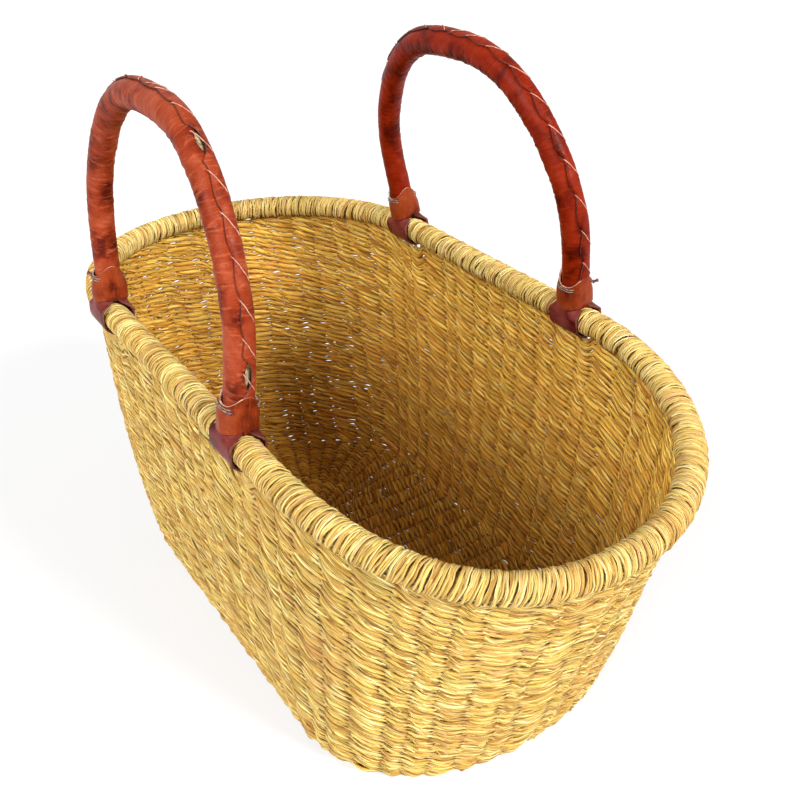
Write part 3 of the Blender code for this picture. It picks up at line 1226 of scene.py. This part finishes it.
    def bands(
        self,
        names: tuple[str, str],
        straw: bpy.types.Material,
        rows: int,
        pieces: int,
        add_row: Callable[[Mesher, int], None],
    ) -> None:
        """Builds rows as several pieces.

        Args:
            names: The pieces' name, which gets a number, and the solid that they stand for.
            straw: Their material.
            rows: How many rows.
            pieces: How many pieces.
            add_row: Adds the row of a number.
        """
        for band in range(pieces):
            mesher = Mesher()
            for row in range(rows * band // pieces, rows * (band + 1) // pieces):
                add_row(mesher, row)
            replaced = names[1:] if band == 0 else ()
            mesher.finish(f"{names[0]}_{band + 1}", "basket", "straw_weave", (straw,), replaced)

    def build(self) -> None:
        """Builds the wall, the floor and the stakes."""
        straw = WEAVE_STRAW.material()
        wall = ("wall_wefts", "wall_weave")
        self.bands(wall, straw, self.rows, self.wall_pieces, self.wall_row)
        floor = ("floor_wefts", "floor_weave")
        self.bands(floor, straw, self.rings, self.floor_pieces, self.floor_ring)
        self.stakes_piece()


@dataclass
class RimBinding:
    """The straw wound across the rim's bundle, in bundles that draw together below.

    Attributes:
        form: The basket's form.
        radius: The rim's outer radius.
        wraps: How many turns of straw.
        half_width: Half the width of one.
        half_thickness: Half its thickness.
        start: Where a wrap leaves the wall on the outside, from level.
        slant: How far it moves along the rim for each radian round it.
        pinch: How much narrower the bundles get below.
        straw_length: A wrap's length, which its straws' colours need.
        stations: Points for each wrap.
        sides: Faces round a wrap.
        seed: The seed of chance.
    """

    form: BasketForm
    radius: float = 0.0075
    wraps: int = 860
    half_width: float = 0.00080
    half_thickness: float = 0.00056
    start: float = math.radians(-76.0)
    slant: float = 0.0013
    pinch: float = 0.25
    straw_length: float = 0.045
    stations: int = 16
    sides: int = 6
    seed: int = 7

    def build(self) -> None:
        """Builds the binding."""
        rng = np.random.default_rng(self.seed)
        line = self.form.rim_line(self.form.ring_points)
        length = length_of(line)
        ahead = unit(np.roll(line, -1, axis=0) - np.roll(line, 1, axis=0))
        out = unit(join(ahead[:, 1], -ahead[:, 0], np.zeros(len(ahead))))
        up = unit(np.cross(out, ahead))
        bundles: list[int] = []
        while sum(bundles) < self.wraps:
            bundles.append(int(rng.integers(4, 8)))
        mesher = Mesher()
        number = 0
        angle = np.linspace(self.start, math.pi - self.start, self.stations)
        lowness = ease(0.35, 1.0, -np.sin(angle))
        for bundle in bundles:
            middle = number + (bundle - 1) / 2
            lean = rng.normal(0.0, 0.0003)
            for _ in range(bundle):
                if number >= self.wraps:
                    break
                from_middle = (number - middle) / self.wraps
                pinch = 1 - self.pinch * lowness
                wobble = rng.normal(0.0, 0.0002) + drift(rng, self.stations, 6, 0.00022)
                wobble = wobble + rng.normal(0.0, 0.0003) * (angle - QUARTER)
                along = (
                    middle / self.wraps
                    + from_middle * pinch
                    + ((self.slant + lean) * (angle - QUARTER) + wobble) / length
                )
                crown = 0.5 + 0.5 * math.cos(math.pi * (number - middle) / (bundle / 2 + 0.5))
                reach = self.radius - self.half_thickness
                reach += 0.0003 * crown - 0.0001 + rng.normal(0.0, 0.00014)
                reach = reach + drift(rng, self.stations, 7, 0.00012)
                reach = reach * (1 - 0.07 * ease(0.7, 1.0, -np.sin(angle)))
                here = around(line, along)
                outward = around(out, along)
                upward = around(up, along)
                radial = outward * np.cos(angle)[:, None] + upward * np.sin(angle)[:, None]
                centre = here + radial * reach[:, None]
                taper = np.ones(self.stations)
                taper[[0, -1]] = 0.0
                taper[[1, -2]] = 0.8
                size = rng.uniform(0.72, 1.18)
                # The second value is low between bundles and under the rim, where the finish paints
                # shade.
                marks = join(
                    np.full(self.stations, float(number)),
                    (0.55 + 0.45 * crown) * (1 - 0.8 * lowness),
                    np.full(self.stations, self.straw_length),
                )
                mesher.strand(
                    centre,
                    radial,
                    -around(ahead, along),
                    self.half_thickness * taper,
                    self.half_width * size * pinch * taper,
                    self.sides,
                    False,
                    marks,
                )
                number += 1
        mesher.finish(
            "rim_wraps", "basket", "straw_binding", (RIM_STRAW.material(),), ("rim_binding",)
        )


@dataclass
class Handle:
    """One handle: the straw rope, its sewn leather, and a strap, collar and cord at each foot.

    Attributes:
        form: The basket's form.
        side: Which side it stands on.
        finish: Its leather.
        gaps: Where the seam gapes, as shares of the arch, with each gap's half length.
        height: How far the arch rises above the rim.
        bow: How far its limbs bow outward.
        exponent: How square the arch is.
        sleeve_radius: The leather's outer radius.
        sleeve_thickness: The leather's thickness.
        core_radius: The rope's radius.
        scallop: The length of one scallop of the seam's flap.
        scallop_depth: How far a scallop stands out, as an angle round the handle.
        lap: How far the flap laps over the seam between the scallops, as an angle.
        strap_width: The width of a strap.
        strap_thickness: Its thickness.
        strap_tab: How far its ends reach up under the collar.
        collar_thickness: A collar's thickness.
        collar_height: Its height.
        collar_ear: How much higher its two ears are.
        layer_gap: The seat between two layers of leather.
        turning_gap: The room that a foot has to turn in over the rim.
        rim_radius: The rim's outer radius.
        rim_gap: The room between the rim and a strap.
        cord_radius: The radius of a collar's cord.
        thong_radius: The radius of the thong.
        stitch_reach: How far a stitch runs along the seam.
        seam_margin: How far from both feet the first stitches are.
    """

    form: BasketForm
    side: Side
    finish: LeatherFinish
    gaps: tuple[tuple[float, float], ...] = ()
    height: float = 0.1377
    bow: float = 0.0068
    exponent: float = 2.77
    sleeve_radius: float = 0.0071
    sleeve_thickness: float = 0.001
    core_radius: float = 0.0058
    scallop: float = 0.0168
    scallop_depth: float = 0.30
    lap: float = 0.12
    strap_width: float = 0.022
    strap_thickness: float = 0.0013
    strap_tab: float = 0.0085
    collar_thickness: float = 0.001
    collar_height: float = 0.0125
    collar_ear: float = 0.006
    layer_gap: float = 0.0005
    turning_gap: float = 0.0012
    rim_radius: float = 0.0075
    rim_gap: float = 0.0009
    cord_radius: float = 0.0003
    thong_radius: float = 0.00027
    stitch_reach: float = 0.0115
    seam_margin: float = 0.028

    def __post_init__(self) -> None:
        """Works out the arch and the sizes that follow from the others."""
        self.strap_radius = self.rim_radius + self.rim_gap + self.strap_thickness / 2
        self.tab_radius = self.sleeve_radius + 0.0003 + self.strap_thickness / 2
        self.foot_lift = self.rim_radius + self.turning_gap + self.layer_gap
        self.collar_lift = self.rim_radius + 2 * self.turning_gap + self.strap_thickness
        self.collar_radius = self.tab_radius + self.strap_thickness / 2 + 0.0007
        angle = np.linspace(0.0, QUARTER, 90)
        lift = self.foot_lift + (self.height - self.foot_lift) * np.sin(angle)
        front = join(self.reach(lift), 0 * lift, lift)
        front[-1, 0] = 0.0
        self.arch = np.vstack([front, (front * (-1, 1, 1))[-2::-1]])
        self.length = length_of(self.arch)

    def reach(self, lift: np.ndarray) -> np.ndarray:
        """How far from the handle's middle a limb is.

        Args:
            lift: Heights above the rim.

        Returns:
            The distance at each height.
        """
        share = np.minimum(lift / self.height, 1.0)
        arch = (1 - share**self.exponent) ** (1 / self.exponent)
        return self.form.foot_half_spacing * arch + self.bow * np.sin(math.pi * share) ** 2

    def stand(self, points: np.ndarray) -> np.ndarray:
        """Leans points of the upright handle to its rest and sets them on the rim.

        Args:
            points: The points.

        Returns:
            The points in the frame.
        """
        turned = self.side.across * self.side.lean
        off = self.side.across * self.form.rim_half_width
        x, y, z = points.T
        return join(
            x + self.form.handle_centre,
            y * math.cos(turned) - z * math.sin(turned) + off,
            y * math.sin(turned) + z * math.cos(turned) + self.form.rim_height,
        )

    def arch_frame(self, count: int) -> tuple[np.ndarray, np.ndarray]:
        """The arch's middle line.

        Args:
            count: How many points.

        Returns:
            The points and the direction away from the arch at each.
        """
        line = resample(self.arch, count, closed=False)
        ahead = unit(np.gradient(line, axis=0))
        return line, join(ahead[:, 2], np.zeros(count), -ahead[:, 0])

    def limb(self, lift: np.ndarray, end: End) -> tuple[np.ndarray, np.ndarray]:
        """The middle of a limb.

        Args:
            lift: Heights above the rim.
            end: Which foot the limb stands on.

        Returns:
            The middle at each height and the way out of the arch there.
        """
        step = 0.0005
        low = join(self.reach(lift), 0 * lift, lift)
        high = join(self.reach(lift + step), 0 * lift, lift + step)
        ahead = unit(high - low)
        outward = join(ahead[:, 2], 0 * lift, -ahead[:, 0])
        mirror = np.array([end.value, 1.0, 1.0])
        return low * mirror, outward * mirror

    def name(self, piece: str, end: End | None = None) -> str:
        """The name of one of the handle's pieces or solids."""
        parts = (self.side.label, end.label, piece) if end else (self.side.label, piece)
        return "_".join(parts)

    @property
    def body(self) -> str:
        """The body that the handle's pieces ride on."""
        return self.name("handle")

    def piece(
        self,
        mesher: Mesher,
        names: tuple[str, str],
        slot: str,
        finishes: tuple[LeatherFinish | PlainFinish, ...],
        end: End | None = None,
    ) -> bpy.types.Object:
        """Makes one of the handle's pieces.

        Args:
            mesher: What it is made of.
            names: Its own name and that of the solid that it stands for.
            slot: The record's material slot.
            finishes: Its finishes, the first for all its faces.
            end: The foot that it belongs to.

        Returns:
            The piece's object.
        """
        own, solid = (self.name(name, end) for name in names)
        materials = tuple(finish.material() for finish in finishes)
        return mesher.finish(own, self.body, slot, materials, (solid,))

    def flap_edge(self, run: np.ndarray) -> np.ndarray:
        """How far the flap reaches past the seam's line, along the arch.

        Args:
            run: Lengths along the arch from the front foot.

        Returns:
            The overlap as an angle round the handle.
        """
        wander = 0.12 * np.sin(run / 0.031 + self.side.across)
        part = (run / self.scallop + wander) % 1.0
        part = np.where(run < self.length / 2, 1 - part, part)
        leaf = np.sin(math.pi * part**1.7) ** 0.8
        return self.lap + self.scallop_depth * leaf

    def gape(self, run: np.ndarray) -> np.ndarray:
        """How far the seam gapes along the arch.

        Args:
            run: Lengths along the arch from the front foot.

        Returns:
            How open it is at each, from 0 to 1.
        """
        open_share = np.zeros_like(run)
        for middle, half in self.gaps:
            off = np.abs(run - middle * self.length) / half
            open_share = np.maximum(open_share, np.clip(1 - off**2, 0.0, 1.0) ** 0.8)
        return open_share

    def tube(
        self,
        columns: int,
        rows: int,
        shape: Callable[[np.ndarray, np.ndarray], tuple[np.ndarray, np.ndarray]],
    ) -> Mesher:
        """Bends a sheet along and round the arch.

        Args:
            columns: Faces along it.
            rows: Faces round it.
            shape: Gives the angle and the radius for shares along and round it.

        Returns:
            The new piece's mesher.
        """
        line, outward = self.arch_frame(columns + 1)

        def place(along: np.ndarray, turned: np.ndarray) -> np.ndarray:
            """Bends the sheet round the arch.

            Args:
                along: Shares along it.
                turned: Shares round it.

            Returns:
                The places in the frame.
            """
            index = np.rint(along * columns).astype(int)
            angle, radius = shape(along, turned)
            way = turned_out(outward[index], angle)
            return self.stand(line[index] + way * radius[:, None])

        mesher = Mesher()
        mesher.sheet(columns, rows, place)
        return mesher

    def sleeve(self) -> None:
        """Builds the leather, wrapped round the rope with its far edge lapped over the seam."""

        def shape(along: np.ndarray, turned: np.ndarray) -> tuple[np.ndarray, np.ndarray]:
            """Gives the leather its lap, lumps and creases.

            Args:
                along: Shares along it.
                turned: Shares round it.

            Returns:
                The angle and the radius of each point.
            """
            run = along * self.length
            gape = self.gape(run)
            start = 0.5 - 0.62 * gape
            end = TURN + self.flap_edge(run) * (1 - gape) - 0.30 * gape
            angle = start - turned * (end + start)
            past = -angle
            lap = ease(TURN - 1.1, TURN - 0.35, past)
            raised = lap * (self.sleeve_thickness + 0.0004)
            near_edge = ease(0.90, 1.0, turned)
            inner = 0.5 - 0.5 * np.cos(angle)
            bend = ease(0.10, 0.30, along) * (1 - ease(0.70, 0.90, along))
            spot = join(run, 0.012 * np.cos(angle), 0.012 * np.sin(angle))
            lumps = grain(spot, 55.0, 3.0 * self.side.across)
            fine = grain(spot * (4.2, 1.0, 1.0), 120.0, 9.0 + self.side.across)
            radius = (
                self.sleeve_radius
                + 0.00034 * lumps
                + (0.00016 + 0.00055 * inner * (0.35 + 0.65 * bend)) * fine
                + raised
                - 0.0002 * near_edge
            )
            return angle, radius

        names = ("handle_leather", "handle_sleeve")
        mesher = self.tube(340, 46, shape)
        piece = self.piece(mesher, names, "terracotta_leather", (self.finish, DYED_EDGE))
        thicken(piece, self.sleeve_thickness, -1.0, 0.0)

    def rope(self) -> None:
        """Builds the straw rope inside the leather."""

        def shape(along: np.ndarray, turned: np.ndarray) -> tuple[np.ndarray, np.ndarray]:
            """Gives the rope its strands and closes its ends.

            Args:
                along: Shares along it.
                turned: Shares round it.

            Returns:
                The angle and the radius of each point.
            """
            angle = -TURN * turned
            lobes = np.abs(np.sin(3.5 * (angle + 260 * along)))
            radius = self.core_radius - 0.0007 + 0.0007 * lobes
            return angle, np.where((along == 0) | (along == 1), 0.0, radius)

        names = ("handle_rope", "handle_core")
        self.piece(self.tube(300, 21, shape), names, "handle_straw", (ROPE_STRAW,))

    def cord_strand(self, mesher: Mesher, points: np.ndarray, radius: np.ndarray) -> None:
        """Adds a thin round strand through points of the upright handle, closed at both ends.

        Args:
            mesher: Where it goes.
            points: Its middle line.
            radius: Its radius at each point.
        """
        line = self.stand(points)
        ahead = unit(np.gradient(line, axis=0))
        side = unit(np.cross(ahead, (0.3, 0.9, 0.2)))
        mesher.strand(line, side, unit(np.cross(side, ahead)), radius, radius, 6, False)

    def lacing(self) -> None:
        """Builds the thong: one slanted stitch over the flap for each scallop."""
        mesher = Mesher()
        fine = 700
        line, outward = self.arch_frame(fine + 1)
        run = np.linspace(0.0, self.length, fine + 1)
        edge = self.flap_edge(run)
        cusps = [i for i in range(1, fine) if edge[i] < edge[i - 1] and edge[i] <= edge[i + 1]]
        steps = np.linspace(0.0, 1.0, 11)
        for cusp in cusps:
            if not self.seam_margin < run[cusp] < self.length - self.seam_margin:
                continue
            sign = -1 if run[cusp] < self.length / 2 else 1
            passed = (sign * steps * self.stitch_reach / self.length * fine).astype(int)
            index = np.clip(cusp + passed, 0, fine)
            angle = -self.lap - 0.16 + (0.72 + self.lap) * steps
            off_edge = ease(-0.34, -0.04, angle + edge[index])
            radius = self.sleeve_radius + 0.0002 + (self.sleeve_thickness + 0.0003) * off_edge
            radius = radius - 0.0009 * ease(0.88, 1.0, steps)
            way = turned_out(outward[index], angle)
            size = pointed(np.full(len(steps), self.thong_radius))
            self.cord_strand(mesher, line[index] + way * radius[:, None], size)
        self.piece(mesher, ("handle_thong", "handle_lacing"), "pale_thong", (THONG,))

    def strap(self, end: End) -> None:
        """Builds the strap under the rim, flat there and curled round the foot above.

        Args:
            end: Which foot it holds.
        """
        columns, rows = 72, 14
        radius = self.strap_radius
        tab_end = self.collar_lift + self.strap_tab
        sign = end.value

        def place(along: np.ndarray, across: np.ndarray) -> np.ndarray:
            """Bends the strap under the rim and up both sides of the foot.

            Args:
                along: Shares along it.
                across: Shares across it.

            Returns:
                The places in the frame.
            """
            step = (along - 0.5) * 16.0
            offset = sign * (across - 0.5) * self.strap_width
            way = np.where(step > 0, 1.0, -1.0)
            past = np.abs(step) - 3.0
            angle = QUARTER * np.clip(step / 3.0, -1.0, 1.0)
            bow = join(
                sign * self.form.foot_half_spacing + offset,
                radius * np.sin(angle),
                -radius * np.cos(angle),
            )
            lift = tab_end * np.clip(past, 0.0, None) / 5.0
            middle, outward = self.limb(lift, end)
            flat = middle + outward * (sign * offset)[:, None]
            flat = flat + ACROSS * (way * radius)[:, None]
            wrap = sign * offset / self.tab_radius
            curled = middle + self.tab_radius * (
                outward * np.sin(wrap)[:, None] + ACROSS * (way * np.cos(wrap))[:, None]
            )
            mix = ease(radius / 2, self.foot_lift + 0.001, lift)[:, None]
            tab = flat * (1 - mix) + curled * mix
            return self.stand(np.where((past > 0)[:, None], tab, bow))

        mesher = Mesher()
        mesher.sheet(columns, rows, place)
        names = ("strap", "rim_strap")
        piece = self.piece(mesher, names, "maroon_leather", (STRAP_LEATHER, DYED_EDGE), end)
        thicken(piece, self.strap_thickness, 0.0, 0.0003)

    def ring(self, lift: np.ndarray, end: End, radius: np.ndarray, angle: np.ndarray) -> np.ndarray:
        """Points round a limb.

        Args:
            lift: Their heights above the rim.
            end: Which foot the limb stands on.
            radius: How far they are from its middle.
            angle: 0 out of the arch and a right angle across it.

        Returns:
            The points in the frame.
        """
        middle, outward = self.limb(lift, end)
        return self.stand(middle + turned_out(outward, angle) * radius[:, None])

    def band_radius(self, angle: np.ndarray, up: np.ndarray) -> np.ndarray:
        """The collar's radius, wider where it lies over the strap's ends.

        Args:
            angle: The place round the limb, 0 out of the arch.
            up: The share of the band's height.

        Returns:
            The radius of the band's middle.
        """
        tight = self.sleeve_radius + self.collar_thickness / 2 + 0.0004
        over_strap = ease(0.12, 0.62, np.abs(np.sin(angle))) * (1 - 0.9 * ease(0.5, 0.95, up))
        return tight + (self.collar_radius - tight) * over_strap

    def collar(self, end: End) -> None:
        """Builds the leather band round the foot, with its raised ears and puckered sides.

        Args:
            end: Which foot it holds.
        """
        columns, rows = 72, 12

        def place(along: np.ndarray, up: np.ndarray) -> np.ndarray:
            """Bends the band round the foot.

            Args:
                along: Shares along it.
                up: Shares up it.

            Returns:
                The places in the frame.
            """
            angle = TURN * along * -end.value
            ear = np.cos(angle) ** 2
            height = self.collar_height + self.collar_ear * ear**1.5
            bottom = self.collar_lift - 0.0022 * np.sin(angle) ** 2
            top = self.collar_lift + height
            lift = bottom + up * (top - bottom)
            pucker = 0.0002 * np.sin(9 * angle + 4 * up) * (1 - up)
            return self.ring(lift, end, self.band_radius(angle, up) + pucker, angle)

        mesher = Mesher()
        mesher.sheet(columns, rows, place)
        names = ("collar_band", "collar")
        piece = self.piece(mesher, names, "collar_leather", (COLLAR_LEATHER, RAW_EDGE), end)
        thicken(piece, self.collar_thickness, 0.0, 0.0002)

    def cord(self, end: End) -> None:
        """Builds the thin cord tied twice round the collar.

        Args:
            end: Which foot it holds.
        """
        turn = np.linspace(0.0, 2.0, 73)
        angle = TURN * turn
        lift = self.collar_lift + self.collar_height - 0.0028 + 0.0013 * turn
        lift = lift + 0.0003 * np.sin(angle * 3)
        radius = self.band_radius(angle, np.full(len(turn), 0.72))
        radius = radius + self.collar_thickness / 2 + 0.0002
        radius = radius - 0.0013 * ease(0.45, 0.85, np.abs(np.cos(angle)))
        line = self.ring(lift, end, radius, angle)
        ahead = unit(np.gradient(line, axis=0))
        middle, _ = self.limb(lift, end)
        outward = unit(line - self.stand(middle))
        size = pointed(np.full(len(turn), self.cord_radius))
        mesher = Mesher()
        mesher.strand(line, outward, unit(np.cross(outward, ahead)), size, size, 6, False)
        self.piece(mesher, ("cord", "collar_cord"), "pale_thong", (CORD,), end)

    def thong_end(self, end: End) -> None:
        """Builds the twisted end of the thong that stands out of the collar.

        Args:
            end: Which foot it stands out of.
        """
        share = np.linspace(0.0, 1.0, 9)
        angle = np.full(len(share), self.side.across * QUARTER / 2)
        lift = self.collar_lift + self.collar_height - 0.0012 + 0.0016 * share
        radius = self.collar_radius + self.collar_thickness / 2 - 0.0006 + 0.0036 * share
        line = self.ring(lift, end, radius, angle)
        ahead = unit(np.gradient(line, axis=0))
        side = unit(np.cross(ahead, (0.1, 0.2, 0.9)))
        size = pointed(0.0011 * (1 + 0.25 * np.sin(9 * share)))
        mesher = Mesher()
        mesher.strand(line, side, unit(np.cross(side, ahead)), size, 0.8 * size, 8, False)
        self.piece(mesher, ("thong_tip", "thong_end"), "dark_thong", (DARK_THONG,), end)

    def build(self) -> None:
        """Builds the whole handle."""
        self.rope()
        self.sleeve()
        self.lacing()
        for end in End:
            self.strap(end)
            self.collar(end)
            self.cord(end)
            self.thong_end(end)


LEFT_LEATHER = LeatherFinish(
    name="dusty_terracotta_leather",
    dark=(0.075, 0.006, 0.002),
    middle=(0.215, 0.026, 0.006),
    worn=(0.42, 0.10, 0.045),
    length=0.40,
    width=0.05,
    roughness=0.38,
    worn_share=0.5,
)
RIGHT_LEATHER = LeatherFinish(
    name="deep_terracotta_leather",
    dark=(0.06, 0.003, 0.0004),
    middle=(0.165, 0.009, 0.0008),
    worn=(0.28, 0.028, 0.005),
    roughness=0.38,
    length=0.40,
    width=0.05,
    worn_share=0.35,
)
STRAP_LEATHER = LeatherFinish(
    name="maroon_strap_leather",
    dark=(0.045, 0.004, 0.004),
    middle=(0.12, 0.014, 0.011),
    worn=(0.22, 0.055, 0.045),
    length=0.06,
    width=0.022,
    roughness=0.30,
    crease=0.00012,
    worn_share=0.3,
)
COLLAR_LEATHER = LeatherFinish(
    name="collar_leather",
    dark=(0.08, 0.007, 0.002),
    middle=(0.20, 0.028, 0.006),
    worn=(0.32, 0.075, 0.024),
    length=0.07,
    width=0.016,
    roughness=0.36,
    crease=0.00018,
    worn_share=0.25,
)


def toward(azimuth: float, elevation: float) -> Vector:
    """The direction in which the camera or a lamp stands, seen from the basket."""
    level = math.cos(elevation)
    return Vector((math.sin(azimuth) * level, -math.cos(azimuth) * level, math.sin(elevation)))


@dataclass
class Studio:
    """The pale floor, the soft lamps and the camera.

    Attributes:
        floor_size: The floor's width.
        lens: The camera's lens for a sensor 36 mm wide.
        target: What it looks at.
        distance: How far from there it stands.
        azimuth: Its direction round the basket.
        elevation: How far above level it looks from.
        roll: How far it is turned about its own view.
        sky: The soft sky's strength.
        glow: How much of the floor's own white the camera sees.
    """

    floor_size: float = 6.0
    lens: float = 43.5
    target: tuple[float, float, float] = (-0.0385, 0.0588, 0.0977)
    distance: float = 0.654
    azimuth: float = math.radians(56.8)
    elevation: float = math.radians(32.4)
    roll: float = math.radians(-1.98)
    sky: float = 0.50
    glow: float = 0.66

    def camera(self) -> None:
        """Sets the camera up."""
        back = toward(self.azimuth, self.elevation)
        right = Vector((0.0, 0.0, 1.0)).cross(back).normalized()
        up = back.cross(right)
        turned_right = math.cos(self.roll) * right + math.sin(self.roll) * up
        turned_up = -math.sin(self.roll) * right + math.cos(self.roll) * up
        data = bpy.data.cameras.new("camera")
        data.lens = self.lens
        data.sensor_width = 36.0
        data.clip_start = 0.01
        camera = bpy.data.objects.new("camera", data)
        turn = Matrix((turned_right, turned_up, back)).transposed().to_4x4()
        place = Vector(self.target) + back * self.distance
        camera.matrix_world = Matrix.Translation(place) @ turn
        bpy.context.scene.collection.objects.link(camera)
        bpy.context.scene.camera = camera

    def lamp(
        self, name: str, azimuth: float, elevation: float, spread: float, power: float
    ) -> None:
        """Adds a soft light from far away.

        Args:
            name: The lamp's name.
            azimuth: Where it stands, in degrees to the right of the camera.
            elevation: How high it stands, in degrees.
            spread: How wide it is, in degrees.
            power: Its strength.
        """
        data = bpy.data.lights.new(name, "SUN")
        data.angle = math.radians(spread)
        data.energy = power
        lamp = bpy.data.objects.new(name, data)
        place = toward(self.azimuth + math.radians(azimuth), math.radians(elevation))
        facing = (-place).to_track_quat("-Z", "Y").to_matrix().to_4x4()
        lamp.matrix_world = Matrix.Translation(place * 2) @ facing
        bpy.context.scene.collection.objects.link(lamp)

    def mixed(
        self, tree: bpy.types.NodeTree, first: Socket, second: Socket, glow: float, end: str
    ) -> None:
        """Shows the second shader to rays from the camera, a mirror or glass.

        Args:
            tree: The tree of both shaders.
            first: The shader for all other rays.
            second: The shader for these.
            glow: How much of the second they see.
            end: The tree's last node.
        """
        path = tree.nodes.new("ShaderNodeLightPath")
        total = path.outputs["Is Camera Ray"]
        for name in ("Is Glossy Ray", "Is Transmission Ray"):
            larger = tree.nodes.new("ShaderNodeMath")
            larger.operation = "MAXIMUM"
            tree.links.new(total, larger.inputs[0])
            tree.links.new(path.outputs[name], larger.inputs[1])
            total = larger.outputs[0]
        share = tree.nodes.new("ShaderNodeMath")
        share.operation = "MULTIPLY"
        share.inputs[1].default_value = glow
        mix = tree.nodes.new("ShaderNodeMixShader")
        tree.links.new(total, share.inputs[0])
        for source, socket in zip((share.outputs[0], first, second), mix.inputs):
            tree.links.new(source, socket)
        tree.links.new(mix.outputs[0], tree.nodes[end].inputs[0])

    def world(self) -> None:
        """A soft pale sky that shows white behind the basket."""
        world = bpy.data.worlds.new("studio")
        world.use_nodes = True
        tree = world.node_tree
        soft = tree.nodes["Background"]
        soft.inputs["Color"].default_value = (1.0, 0.99, 0.97, 1.0)
        soft.inputs["Strength"].default_value = self.sky
        white = tree.nodes.new("ShaderNodeBackground")
        white.inputs["Color"].default_value = (1.0, 1.0, 1.0, 1.0)
        self.mixed(tree, soft.outputs[0], white.outputs[0], 1.0, "World Output")
        bpy.context.scene.world = world

    def floor(self) -> None:
        """The pale floor, which keeps the basket's shadow."""
        bm = bmesh.new()
        bmesh.ops.create_grid(bm, x_segments=1, y_segments=1, size=self.floor_size / 2)
        mesh = bpy.data.meshes.new("studio_floor")
        bm.to_mesh(mesh)
        bm.free()
        material = bpy.data.materials.new("studio_floor")
        material.use_nodes = True
        tree = material.node_tree
        matt = tree.nodes["Principled BSDF"]
        matt.inputs["Base Color"].default_value = (0.80, 0.80, 0.81, 1.0)
        matt.inputs["Roughness"].default_value = 0.9
        glow = tree.nodes.new("ShaderNodeEmission")
        glow.inputs["Strength"].default_value = 1.0
        self.mixed(tree, matt.outputs[0], glow.outputs[0], self.glow, "Material Output")
        mesh.materials.append(material)
        floor = bpy.data.objects.new("studio_floor", mesh)
        bpy.context.scene.collection.objects.link(floor)

    def build(self) -> None:
        """Builds the studio."""
        self.world()
        self.floor()
        self.lamp("key", 52.0, 32.0, 14.0, 4.1)
        self.lamp("fill", -40.0, 34.0, 36.0, 3.35)
        self.camera()
        bpy.context.scene.view_settings.view_transform = "Standard"


def dress_node(frame: dict, name: str, material: bpy.types.Material) -> None:
    """Gives a carried-over solid its material.

    Args:
        frame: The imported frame.
        name: The node's name.
        material: Its material.
    """
    mesh = frame["nodes"][name].data
    mesh.materials.clear()
    mesh.materials.append(material)


def main() -> None:
    """Builds the basket's pieces and the studio."""
    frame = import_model()
    form = BasketForm()
    surface = Surface(form)
    Twining(form, surface).build()
    RimBinding(form).build()
    dress_node(frame, "rim_core", STAKE_STRAW.material())
    gaps = ((0.36, 0.009), (0.085, 0.010))
    Handle(form, Side.LEFT, LEFT_LEATHER, gaps, scallop_depth=0.15).build()
    Handle(form, Side.RIGHT, RIGHT_LEATHER, scallop_depth=0.26).build()
    Studio().build()


if __name__ == "__main__":
    logging.basicConfig(level=logging.INFO, format="%(message)s")
    main()
